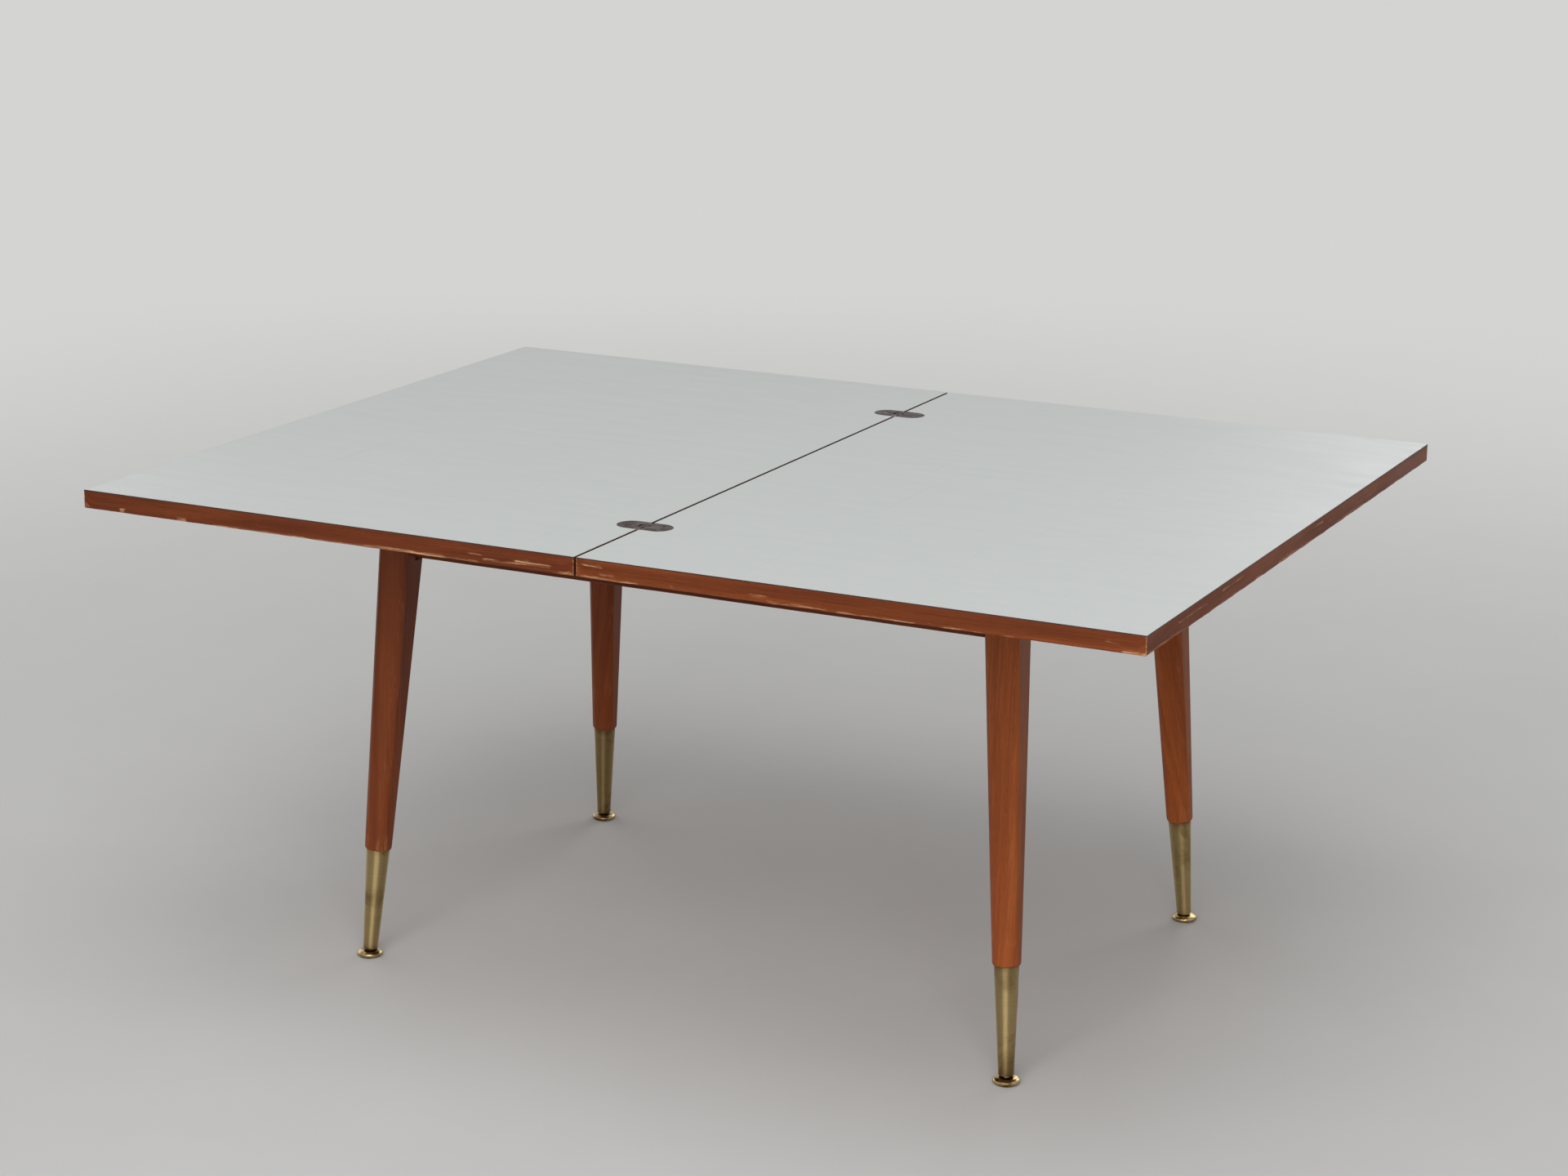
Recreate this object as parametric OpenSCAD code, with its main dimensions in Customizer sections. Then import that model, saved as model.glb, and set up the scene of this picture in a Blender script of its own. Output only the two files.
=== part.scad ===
// Swivel-top coffee table. The top is two leaves joined by flush double-pivot
// hinges. It turns a quarter turn on a pivot set off the middle of the base, and
// one leaf then folds over the other. The model stands open, as in use.
// Origin: on the floor under the middle of the open top. +X runs along the long
// side of the open top, +Y to the back, +Z up. All sizes are in millimetres.

/* [Table top] */
// Length of the open top
top_len = 1200; // [1000:10:1300]
// Depth of the open top
top_w = 920; // [820:10:1000]
// Height of the table top above the floor
top_h = 561; // [520:1:600]
// Thickness of a leaf
leaf_t = 20; // [18:0.5:26]
// Thickness of the plastic laminate on a leaf
lam_t = 1.2; // [0.8:0.1:1.6]
// Thickness of the veneer under a leaf
veneer_t = 0.8; // [0.6:0.1:1.2]
// Width of the wooden lipping round a leaf
lip_w = 10; // [8:1:12]
// Easing of the lower outer arris of a lipping
lip_ease = 1; // [0.5:0.1:2]
// Gap between the two leaves at the seam
seam_gap = 3; // [2.8:0.1:3.4]
// Easing of the laminate's arris at the seam
seam_ease = 0.5; // [0.4:0.1:0.7]

/* [Flush hinges] */
// Length of a closed pair of hinge plates across the seam
hinge_len = 62; // [58:1:70]
// Width of a hinge plate along the seam
hinge_w = 32; // [30:1:36]
// Thickness of a hinge plate
hinge_t = 4.6; // [4.4:0.1:4.8]
// Distance from a hinge's middle to the nearer end of the seam
hinge_inset = 145; // [100:5:200]
// Distance between the two pins of a hinge
pin_pitch = 5.2; // [5.1:0.05:5.4]
// Diameter of a hinge pin
pin_d = 2; // [1.6:0.1:2.2]
// Width of the link between the plates
link_w = 8; // [6:0.5:10]
// Distance of the plate's screws from the seam
hinge_screw_x = 17; // [15:0.5:19]
// Distance between a plate's two screws
hinge_screw_pitch = 17; // [15:0.5:18]
// Length of a hinge screw
hinge_screw_len = 13; // [10:1:14]

/* [Swivel] */
// Diameter of the swivel plate
swivel_d = 100; // [96:1:104]
// Thickness of the swivel plate
swivel_t = 3; // [2:0.5:4]
// Diameter of the pivot stud
stud_d = 12; // [10:1:14]
// Radius on which the stop slot and the plate's screws lie
slot_r = 38; // [34:1:40]
// Diameter of the stop pin
stop_d = 6; // [5:0.5:7]
// Wall of the pivot bush
bush_wall = 2; // [1.5:0.5:3]
// Diameter of the pivot bush's flange
flange_d = 26; // [24:1:32]
// Thickness of the pivot bush's flange
flange_t = 1.5; // [1:0.5:2.5]
// Width across the flats of the pivot nut
nut_af = 18; // [17:1:21]
// Height of the pivot nut
nut_h = 10; // [8:1:12]
// Diameter of the washer under the pivot board
washer_d = 34; // [28:1:40]
// Thickness of the washer under the pivot board
washer_t = 2; // [1.5:0.5:3]

/* [Base frame] */
// How far the base stands back from the middle of the open top
base_back = 20; // [0:5:30]
// Length of the frame over its side rails
frame_l = 730; // [680:5:760]
// Width of the frame over its long rails
frame_w = 467; // [440:1:490]
// Height of a rail
rail_h = 77; // [65:1:85]
// Thickness of a rail
rail_t = 20; // [18:1:24]
// Easing of the lower arrises of a rail
rail_ease = 1.5; // [0.5:0.5:3]
// Side of a three-cornered glue block along a rail
block_side = 55; // [50:1:65]
// Height of a glue block
block_h = 55; // [50:1:60]
// Width of the pivot board
board_w = 130; // [120:2:150]
// Thickness of the pivot board
board_t = 18; // [15:1:22]
// Side of the square cleat that carries the pivot board
cleat = 20; // [18:1:24]
// Diameter of a slide pad
pad_d = 14; // [10:1:16]
// Thickness of a slide pad
pad_t = 1.5; // [1:0.1:2.5]

/* [Legs] */
// Side of the leg's planed square at its top
leg_top = 40; // [36:0.5:42]
// Side of the leg's planed square at its lower end
leg_end = 28.5; // [27:0.5:29.5]
// Diameter of the leg's turned taper at its top
leg_top_d = 52; // [48:0.5:54]
// Diameter of the leg's turned taper at its lower end
leg_end_d = 30; // [29.5:0.5:31]
// How far the leg's top stands outside the frame
leg_lap = 13; // [10:0.5:15]
// Lean of a leg along the table, in degrees
splay_x = 3.4; // [2:0.1:5]
// Lean of a leg across the table, in degrees
splay_y = 4.7; // [2:0.1:5.5]
// Chamfer round the inner edge of the leg's shoulder
shoulder_cut = 4; // [2:0.5:6]

/* [Feet] */
// Length of a ferrule
ferrule_len = 118; // [100:1:140]
// Diameter of a ferrule at its mouth
ferrule_top_d = 26.4; // [25:0.1:27]
// Diameter of a ferrule at its lower end
ferrule_end_d = 16.4; // [15.4:0.1:17.4]
// Wall of a ferrule
ferrule_wall = 1.2; // [1:0.1:1.6]
// Length of the leg's spigot inside a ferrule
spigot_len = 84; // [70:1:88]
// Diameter of a glide
glide_d = 29; // [27:0.2:32]
// Height of a glide's dome
glide_h = 7.4; // [6.5:0.1:8.5]
// Diameter of a glide's neck
neck_d = 9; // [8.5:0.1:10]
// Diameter of a glide's stem
stem_d = 7; // [6:0.2:8]
// Length of a glide's stem that stays in the ferrule when it is screwed out
stem_grip = 14; // [10:1:18]
// Travel of a glide on its screw
glide_travel = 6; // [4:1:8]

/* [Hidden] */
$fn = 96;

// Gap kept between pieces that slide over each other, and between a shaft and its bore
run_gap = 0.3;
bore_gap = 0.05;
// Play of a fitted piece in its hole, of a let-in plate in its pocket and round a link
fit_gap = 0.03;
pocket_gap = 0.1;
link_gap = 0.2;
// How far a cut runs past the face that it opens, and a blind hole past what goes in it
past = 1;
hole_room = 1;

// Leaf: its edges in plan and its levels, for the side that doesn't fold
leaf_x0 = seam_gap / 2;
leaf_x1 = top_len / 2;
leaf_mid = (leaf_x0 + leaf_x1) / 2;
leaf_y = top_w / 2;
leaf_bot = top_h - leaf_t;
lip_h = leaf_t - lam_t;
core_bot = leaf_bot + veneer_t;
core_top = top_h - lam_t;

// Hinge: pins on the middle of the plate's rounded nose, link inside the nose's circle
hinge_y = leaf_y - hinge_inset;
pin_x = pin_pitch / 2;
pin_z = top_h - hinge_t / 2;
nose_r = hinge_t / 2;
link_r = nose_r - run_gap;
// The leaf folds about one line over the seam, which draws its pin this far along the link
pin_travel = pin_pitch * (sqrt(2) - 1);
hinge_head_d = 6.4;
hinge_shank_d = 3.2;
hinge_head_h = 1.8;

// Swivel: the pivot lies where a quarter turn brings the fixed leaf over the base
pivot_x = (leaf_mid - base_back) / 2;
pivot_y = -pivot_x;
swivel_bot = leaf_bot - swivel_t;
board_top = swivel_bot - run_gap - flange_t;
board_bot = board_top - board_t;
swivel_turn = 90;
stop_angle = 135;
stop_seat = 12;
swivel_screw_angles = [10, 170, 240, 300];
swivel_screw_len = 14;
stud_past_nut = 3;
nut_collar_h = 2.5;
nut_collar_in = 0.5;
washer_top = board_bot - run_gap;
nut_top = washer_top - washer_t;
stud_len = swivel_bot - (nut_top - nut_h) + stud_past_nut;

// Wood screws: head and shank, and how far one bites into the piece behind
screw_d = 4;
screw_head_d = 7.6;
screw_head_h = 2.4;
screw_bite = 13;
head_room = 0.4;

// Base frame levels and inner corner, measured from the middle of the base
rail_top = leaf_bot - run_gap - pad_t;
rail_bot = rail_top - rail_h;
in_x = frame_l / 2 - rail_t;
in_y = frame_w / 2 - rail_t;
cleat_screw_in = 18;
board_screw_pitch = 46;
pad_in = 65;

// Glue block and the bolt that draws the leg onto the frame's corner
block_z = rail_bot + (rail_h - block_h) / 2;
bolt_z = rail_bot + rail_h / 2;
bolt_d = 6;
bolt_head_af = 10;
bolt_head_h = 4;
bolt_bite = 11;
block_screw_in = 20;
block_screw_seat = 9;
block_screw_z = 16;
// Distance from the frame's corner to the sloping face of the glue block
bolt_reach = (rail_t + block_side / 2) * sqrt(2);

// Leg: its middle at the rails' top, its foot on the floor and the turn of its axis
leg_x = frame_l / 2 + leg_lap - leg_top / 2;
leg_y = frame_w / 2 + leg_lap - leg_top / 2;
foot_x = leg_x + tan(splay_x) * rail_top;
foot_y = leg_y + tan(splay_y) * rail_top;
tilt_y = atan(tan(splay_y) * cos(splay_x));
axis_cos = cos(tilt_y) * cos(splay_x);

// Stations along the leg's axis, counted up from the floor
neck_show = 1;
neck_top = glide_h + neck_show;
ferrule_s0 = neck_top + run_gap;
ferrule_s1 = ferrule_s0 + ferrule_len;
leg_s1 = rail_top / axis_cos;
stem_len = stem_grip + glide_travel;
over = leg_top;
taper_r = (leg_top_d - leg_end_d) / 2 / (leg_s1 - ferrule_s1);
plane_tilt = atan((leg_top - leg_end) / 2 / (leg_s1 - ferrule_s1));
end_cut = 2.5;
end_step = 1;
rail_s = (rail_bot - ferrule_s1 * axis_cos) / (rail_top - ferrule_s1 * axis_cos);
shoulder_side = leg_end + (leg_top - leg_end) * rail_s;
// Rim at a ferrule's lower end
ferrule_rim = 1;
// Glide: level of its rim, inset of the flat foot and of its easing, ledge round the neck
glide_rim_z = 2.7;
glide_flat_in = 1.8;
glide_ease_in = 0.6;
glide_ease_z = 0.5;
glide_ledge = 2.5;
arc_steps = 12;

// Colours
WOOD = [0.50, 0.22, 0.12];
DARK_WOOD = [0.34, 0.14, 0.08];
PALE_WOOD = [0.72, 0.57, 0.38];
BOARD = [0.70, 0.60, 0.45];
WHITE = [0.84, 0.87, 0.87];
BRONZE = [0.36, 0.31, 0.29];
BRASS = [0.58, 0.50, 0.32];
STEEL = [0.62, 0.62, 0.64];
NYLON = [0.90, 0.89, 0.84];
FELT = [0.32, 0.36, 0.30];

// Box between two corners
module slab(low, high) {
    translate(low) cube(high - low);
}

// Flat oblong with round ends, centred
module obround(length, width) {
    square([length - width, width], center = true);
    for (end = [-1, 1])
        translate([end * (length - width) / 2, 0]) circle(d = width);
}

// Puts what is made for the fixed leaf (side 1) onto the folding leaf (side -1)
module on_side(side) {
    mirror([side < 0 ? 1 : 0, 0, 0]) children();
}

// Puts what is made for the back right corner onto any corner of the base
module at_corner(side_x, side_y) {
    translate([0, base_back, 0])
        mirror([side_x < 0 ? 1 : 0, 0, 0])
            mirror([0, side_y < 0 ? 1 : 0, 0])
                children();
}

// Countersunk screw, head flush at z = 0, running down
module csk_screw(head_d, shank_d, head_h, length, play = 0) {
    tip = shank_d / 2;
    rotate_extrude()
        polygon([
            [0, 0],
            [head_d / 2 + play, 0],
            [shank_d / 2 + play, -head_h],
            [shank_d / 2 + play, -length + tip],
            [play, -length],
            [0, -length]
        ]);
}

// Flat-headed screw, underside of the head at z = 0, running up
module pan_screw(shank_d, length) {
    translate([0, 0, -screw_head_h]) cylinder(d = screw_head_d, h = screw_head_h);
    translate([0, 0, -screw_head_h / 2]) cylinder(d = shank_d, h = length + screw_head_h / 2);
}

// Two hinge places along the seam
module at_hinge(end) {
    translate([0, end * hinge_y, 0]) children();
}

// Places of a hinge plate's screws on the fixed side, on the plate's face
module at_hinge_screws(end) {
    for (row = [-1, 1])
        translate([hinge_screw_x, end * hinge_y + row * hinge_screw_pitch / 2, top_h]) children();
}

// Slot for the link in a plate, or below it; on the folding side it is longer for the long eye
module link_room(side, x0, z0, z1) {
    slab([x0, -link_w / 2 - link_gap, z0],
         [pin_x + nose_r + (side < 0 ? pin_travel : 0), link_w / 2 + link_gap, z1]);
}

// Pocket for a hinge in a leaf, with the pilot holes of its screws; on the folding side it is
// deeper under the link, whose long eye stands upright in the leaf once that is folded
module hinge_pockets(side) {
    for (end = [-1, 1]) {
        at_hinge(end)
            translate([0, 0, top_h - hinge_t])
                linear_extrude(hinge_t + past)
                    obround(hinge_len + 2 * pocket_gap, hinge_w + 2 * pocket_gap);
        if (side < 0)
            at_hinge(end)
                link_room(side, leaf_x0 - past, top_h - hinge_t - pin_travel, top_h);
        at_hinge_screws(end)
            csk_screw(hinge_head_d, hinge_shank_d, hinge_head_h, hinge_screw_len + pocket_gap, fit_gap);
    }
}

// Places of the swivel plate's screws, on the plate's underside
module at_swivel_screws() {
    for (a = swivel_screw_angles)
        translate([pivot_x, pivot_y, swivel_bot]) rotate(a) translate([slot_r, 0, 0]) children();
}

// Swivel plate's screws run up into the leaf
module swivel_screw(play) {
    rotate([180, 0, 0]) csk_screw(screw_head_d, screw_d, screw_head_h, swivel_screw_len, play);
}

// Bare plan of a leaf on the fixed side, less an inset all round
module leaf_box(inset, z0, z1) {
    slab([leaf_x0 + inset, -leaf_y + inset, z0], [leaf_x1 - inset, leaf_y - inset, z1]);
}

// Core board inside the lippings
module leaf_core(side) {
    color(BOARD) on_side(side)
        difference() {
            leaf_box(lip_w, core_bot, core_top);
            hinge_pockets(side);
            if (side > 0) at_swivel_screws() swivel_screw(fit_gap);
        }
}

// Laminate over the whole leaf, its arris eased at the seam
module leaf_laminate(side) {
    color(WHITE) on_side(side)
        difference() {
            translate([0, leaf_y, 0]) rotate([90, 0, 0])
                linear_extrude(top_w)
                    polygon([
                        [leaf_x0, core_top],
                        [leaf_x1, core_top],
                        [leaf_x1, top_h],
                        [leaf_x0 + seam_ease, top_h],
                        [leaf_x0, top_h - seam_ease]
                    ]);
            hinge_pockets(side);
        }
}

// Balancing veneer under the core, between the lippings
module leaf_veneer(side) {
    color(WOOD) on_side(side)
        difference() {
            leaf_box(lip_w, leaf_bot, core_bot);
            if (side > 0) at_swivel_screws() swivel_screw(fit_gap);
        }
}

// Lipping along +X, outer face on y = 0, mitred at both ends, lower arris eased
module lipping(length) {
    intersection() {
        rotate([90, 0, 90])
            linear_extrude(length)
                polygon([[0, lip_ease], [lip_ease, 0], [lip_w, 0], [lip_w, lip_h], [0, lip_h]]);
        linear_extrude(lip_h)
            polygon([[0, 0], [length, 0], [length - lip_w, lip_w], [lip_w, lip_w]]);
    }
}

// One of a leaf's four lippings, from its place in the ring
module leaf_lipping(side, edge) {
    leaf_l = leaf_x1 - leaf_x0;
    color(WOOD) on_side(side)
        difference() {
            if (edge == "front")
                translate([leaf_x0, -leaf_y, leaf_bot]) lipping(leaf_l);
            else if (edge == "back")
                translate([leaf_x1, leaf_y, leaf_bot]) rotate(180) lipping(leaf_l);
            else if (edge == "outer")
                translate([leaf_x1, -leaf_y, leaf_bot]) rotate(90) lipping(top_w);
            else
                translate([leaf_x0, leaf_y, leaf_bot]) rotate(-90) lipping(top_w);
            if (edge == "seam") hinge_pockets(side);
        }
}

// Flush hinge plate: half an oblong with a round nose on its pin and a slot for the link
module hinge_plate(side, end) {
    color(BRONZE) on_side(side)
        difference() {
            union() {
                at_hinge(end) translate([0, 0, top_h - hinge_t])
                    linear_extrude(hinge_t)
                        intersection() {
                            obround(hinge_len, hinge_w);
                            translate([pin_x, -hinge_w]) square([hinge_len, 2 * hinge_w]);
                        }
                at_hinge(end) translate([pin_x, hinge_w / 2, pin_z])
                    rotate([90, 0, 0]) cylinder(r = nose_r, h = hinge_w);
            }
            at_hinge(end)
                link_room(side, -nose_r, top_h - hinge_t - past, top_h + past);
            at_hinge(end) translate([pin_x, hinge_w / 2 + past, pin_z])
                rotate([90, 0, 0]) cylinder(d = pin_d + 2 * fit_gap, h = hinge_w + 2 * past);
            at_hinge_screws(end)
                csk_screw(hinge_head_d, hinge_shank_d, hinge_head_h, hinge_screw_len, fit_gap);
        }
}

// Link between the two pins of a hinge: a round eye on the fixed leaf's pin, and a long eye
// for the folding leaf's pin
module hinge_link(end) {
    eye_d = pin_d + 2 * bore_gap;
    color(BRONZE)
        at_hinge(end) translate([0, link_w / 2, pin_z])
            rotate([90, 0, 0])
                linear_extrude(link_w)
                    difference() {
                        translate([-pin_travel / 2, 0])
                            obround(pin_pitch + pin_travel + 2 * link_r, 2 * link_r);
                        translate([pin_x, 0]) circle(d = eye_d);
                        translate([-pin_x - pin_travel / 2, 0]) obround(pin_travel + eye_d, eye_d);
                    }
}

// The pins on one side of the seam, one for each hinge
module hinge_pins(side) {
    color(STEEL) on_side(side)
        for (end = [-1, 1])
            at_hinge(end) translate([pin_x, hinge_w / 2, pin_z])
                rotate([90, 0, 0]) cylinder(d = pin_d, h = hinge_w);
}

// The screws of one side's hinge plates
module hinge_screws(side) {
    color(BRONZE) on_side(side)
        for (end = [-1, 1])
            at_hinge_screws(end)
                csk_screw(hinge_head_d, hinge_shank_d, hinge_head_h, hinge_screw_len);
}

// Swivel plate: disc with a stud, a quarter-turn slot for the stop pin and screw holes
module swivel_plate() {
    slot_w = stop_d + 2 * run_gap;
    color(STEEL)
        difference() {
            translate([pivot_x, pivot_y, 0]) {
                translate([0, 0, swivel_bot]) cylinder(d = swivel_d, h = swivel_t);
                translate([0, 0, swivel_bot - stud_len])
                    cylinder(d = stud_d, h = stud_len + swivel_t / 2);
            }
            translate([pivot_x, pivot_y, swivel_bot - past]) {
                rotate(stop_angle - swivel_turn)
                    rotate_extrude(angle = swivel_turn)
                        translate([slot_r - slot_w / 2, 0]) square([slot_w, swivel_t + 2 * past]);
                for (a = [stop_angle - swivel_turn, stop_angle])
                    rotate(a) translate([slot_r, 0, 0]) cylinder(d = slot_w, h = swivel_t + 2 * past);
            }
            at_swivel_screws() swivel_screw(fit_gap);
        }
}

module swivel_screws() {
    color(STEEL) at_swivel_screws() swivel_screw(0);
}

// Flanged bush pressed into the pivot board
module pivot_bush() {
    color(NYLON)
        translate([pivot_x, pivot_y, board_bot])
            difference() {
                union() {
                    cylinder(d = stud_d + 2 * bush_wall, h = board_t);
                    translate([0, 0, board_t]) cylinder(d = flange_d, h = flange_t);
                }
                translate([0, 0, -past])
                    cylinder(d = stud_d + 2 * bore_gap, h = board_t + flange_t + 2 * past);
            }
}

module pivot_washer() {
    color(STEEL)
        translate([pivot_x, pivot_y, nut_top])
            difference() {
                cylinder(d = washer_d, h = washer_t);
                translate([0, 0, -past])
                    cylinder(d = stud_d + 2 * bore_gap, h = washer_t + 2 * past);
            }
}

// Lock nut with its turned collar
module pivot_nut() {
    color(STEEL)
        translate([pivot_x, pivot_y, nut_top - nut_h])
            difference() {
                union() {
                    translate([0, 0, nut_collar_h])
                        cylinder(r = nut_af / 2 / cos(30), h = nut_h - nut_collar_h, $fn = 6);
                    cylinder(d = nut_af - 2 * nut_collar_in, h = nut_h / 2);
                }
                translate([0, 0, -past])
                    cylinder(d = stud_d + 2 * bore_gap, h = nut_h + 2 * past);
            }
}

// Places of the screws through the board, and through the cleats, for one long rail
module at_board_screws(end) {
    for (row = [-1, 1])
        translate([pivot_x + row * board_screw_pitch / 2, base_back + end * (in_y - cleat / 2), board_top])
            children();
}

module at_cleat_screws(end) {
    for (row = [-1, 1])
        translate([pivot_x + row * (board_w / 2 - cleat_screw_in),
                   base_back + end * (in_y - cleat),
                   board_bot - cleat / 2])
            rotate([-90 * end, 0, 0]) children();
}

module board_screw(play) {
    csk_screw(screw_head_d, screw_d, screw_head_h, board_t + screw_bite, play);
}

// Board between the long rails that carries the pivot
module pivot_board() {
    color(PALE_WOOD)
        difference() {
            slab([pivot_x - board_w / 2, base_back - in_y, board_bot],
                 [pivot_x + board_w / 2, base_back + in_y, board_top]);
            translate([pivot_x, pivot_y, board_bot - past])
                cylinder(d = stud_d + 2 * bush_wall + 2 * fit_gap, h = board_t + 2 * past);
            at_stop_pin() translate([0, 0, -fit_gap])
                cylinder(d = stop_d + 2 * fit_gap, h = board_t);
            for (end = [-1, 1])
                at_board_screws(end) board_screw(fit_gap);
        }
}

// Seat of the stop pin in the pivot board
module at_stop_pin() {
    translate([pivot_x, pivot_y, board_top - stop_seat])
        rotate(stop_angle) translate([slot_r, 0, 0]) children();
}

module stop_pin() {
    color(STEEL) at_stop_pin() cylinder(d = stop_d, h = leaf_bot - run_gap - board_top + stop_seat);
}

// Cleat under one end of the pivot board
module board_cleat(end) {
    color(PALE_WOOD)
        difference() {
            translate([pivot_x, base_back + end * (in_y - cleat / 2), board_bot - cleat / 2])
                cube([board_w, cleat, cleat], center = true);
            at_board_screws(end) board_screw(fit_gap);
            at_cleat_screws(end)
                translate([0, 0, -past])
                    cylinder(d = screw_d + 2 * fit_gap, h = cleat + 2 * past);
        }
}

module cleat_screws() {
    color(STEEL)
        for (end = [-1, 1])
            at_cleat_screws(end) pan_screw(screw_d, cleat + screw_bite);
}

module board_screws() {
    color(STEEL)
        for (end = [-1, 1])
            at_board_screws(end) board_screw(0);
}

// Rail along +X, outer face on y = 0, lower arrises eased
module rail(length) {
    rotate([90, 0, 90])
        linear_extrude(length)
            polygon([
                [0, rail_ease],
                [rail_ease, 0],
                [rail_t - rail_ease, 0],
                [rail_t, rail_ease],
                [rail_t, rail_h],
                [0, rail_h]
            ]);
}

// Everything that is drilled into the rails from inside
module rail_holes() {
    for (sx = [-1, 1], sy = [-1, 1])
        at_corner(sx, sy) {
            bolt_hole();
            at_block_screws()
                cylinder(d = screw_d + 2 * fit_gap, h = block_screw_seat + screw_bite + hole_room);
        }
    for (end = [-1, 1])
        at_cleat_screws(end) cylinder(d = screw_d + 2 * fit_gap, h = cleat + screw_bite + hole_room);
}

// Long rail, across the whole length of the frame
module long_rail(end) {
    color(DARK_WOOD)
        difference() {
            translate([0, base_back, 0]) rotate(end > 0 ? 180 : 0)
                translate([-frame_l / 2, -frame_w / 2, rail_bot]) rail(frame_l);
            rail_holes();
        }
}

// Side rail, between the long rails
module side_rail(side) {
    color(DARK_WOOD)
        difference() {
            translate([0, base_back, 0]) rotate(side > 0 ? 90 : -90)
                translate([-in_y, -frame_l / 2, rail_bot]) rail(2 * in_y);
            rail_holes();
        }
}

// Line of the bolt at the back right corner: z = 0 at the frame's corner, + towards the leg
module on_bolt() {
    translate([frame_l / 2, frame_w / 2, bolt_z]) rotate(45) rotate([0, 90, 0]) children();
}

module bolt_hole() {
    on_bolt() translate([0, 0, -bolt_reach - past])
        cylinder(d = bolt_d + 2 * fit_gap, h = bolt_reach + past + bolt_bite + hole_room);
}

// Seats of the two screws of a glue block: one into each rail, z = 0 under the head
module at_block_screws() {
    translate([in_x - block_side + block_screw_in, in_y - block_screw_seat, bolt_z + block_screw_z])
        rotate([-90, 0, 0]) children();
    translate([in_x - block_screw_seat, in_y - block_side + block_screw_in, bolt_z - block_screw_z])
        rotate([0, 90, 0]) children();
}

// Three-cornered glue block in a corner of the frame
module corner_block(side_x, side_y) {
    color(PALE_WOOD) at_corner(side_x, side_y)
        difference() {
            translate([in_x, in_y, block_z])
                linear_extrude(block_h) polygon([[0, 0], [-block_side, 0], [0, -block_side]]);
            bolt_hole();
            at_block_screws() {
                translate([0, 0, -past]) cylinder(d = screw_d + 2 * fit_gap, h = block_side);
                translate([0, 0, -block_side])
                    cylinder(d = screw_head_d + 2 * head_room, h = block_side);
            }
        }
}

module block_screws() {
    color(STEEL)
        for (sx = [-1, 1], sy = [-1, 1])
            at_corner(sx, sy) at_block_screws() pan_screw(screw_d, block_screw_seat + screw_bite);
}

// Bolts through glue block and frame corner into the legs
module leg_bolts() {
    color(STEEL)
        for (sx = [-1, 1], sy = [-1, 1])
            at_corner(sx, sy) on_bolt() {
                translate([0, 0, -bolt_reach]) cylinder(d = bolt_d, h = bolt_reach + bolt_bite);
                translate([0, 0, -bolt_reach - bolt_head_h])
                    cylinder(r = bolt_head_af / 2 / cos(30), h = bolt_head_h, $fn = 6);
            }
}

// Pads on which the turning top slides: three on a long rail and one on a side rail
module slide_pads() {
    color(FELT) translate([0, base_back, rail_top]) {
        for (place = [-1, 0, 1], end = [-1, 1])
            translate([place * (frame_l / 2 - pad_in), end * (frame_w - rail_t) / 2, 0])
                cylinder(d = pad_d, h = pad_t);
        for (side = [-1, 1])
            translate([side * (frame_l - rail_t) / 2, 0, 0]) cylinder(d = pad_d, h = pad_t);
    }
}

// Axis of the back right leg: z = 0 on the floor, + up along the leg
module on_leg_axis() {
    translate([foot_x, foot_y, 0]) rotate([tilt_y, -splay_x, 0]) children();
}

// Turned taper of the leg, with its chamfered lower end and its spigot
module leg_turning() {
    shoulder_r = leg_end_d / 2;
    spigot_top_r = ferrule_top_d / 2 - ferrule_wall - fit_gap;
    ferrule_taper = (ferrule_top_d - ferrule_end_d) / 2 / ferrule_len;
    rotate_extrude()
        polygon([
            [0, ferrule_s1 - spigot_len],
            [spigot_top_r - ferrule_taper * spigot_len, ferrule_s1 - spigot_len],
            [spigot_top_r, ferrule_s1],
            [shoulder_r - end_step, ferrule_s1],
            [shoulder_r + taper_r * end_cut, ferrule_s1 + end_cut],
            [leg_top_d / 2 + taper_r * over, leg_s1 + over],
            [0, leg_s1 + over]
        ]);
}

// Leg: a turned taper planed to four flats, notched at the top round the frame's corner
module leg(side_x, side_y) {
    plane_len = leg_s1 - ferrule_s1 + 2 * over;
    shoulder_x = leg_x + tan(splay_x) * rail_h - shoulder_side / 2;
    shoulder_y = leg_y + tan(splay_y) * rail_h - shoulder_side / 2;
    color(WOOD) at_corner(side_x, side_y)
        difference() {
            on_leg_axis()
                difference() {
                    leg_turning();
                    for (face = [0:3])
                        rotate(90 * face) translate([leg_end / 2, 0, ferrule_s1])
                            rotate([0, plane_tilt, 0])
                                translate([0, -leg_top_d, 0])
                                    cube([leg_top_d, 2 * leg_top_d, plane_len]);
                }
            slab([leg_x - leg_top_d, leg_y - leg_top_d, rail_top],
                 [leg_x + leg_top_d, leg_y + leg_top_d, rail_top + 2 * over]);
            slab([leg_x - leg_top_d, leg_y - leg_top_d, rail_bot],
                 [frame_l / 2, frame_w / 2, rail_top + past]);
            translate([shoulder_x, leg_y, rail_bot]) rotate([0, 45, 0])
                cube([shoulder_cut * sqrt(2), 2 * leg_top_d, shoulder_cut * sqrt(2)], center = true);
            translate([leg_x, shoulder_y, rail_bot]) rotate([45, 0, 0])
                cube([2 * leg_top_d, shoulder_cut * sqrt(2), shoulder_cut * sqrt(2)], center = true);
            bolt_hole();
        }
}

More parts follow.
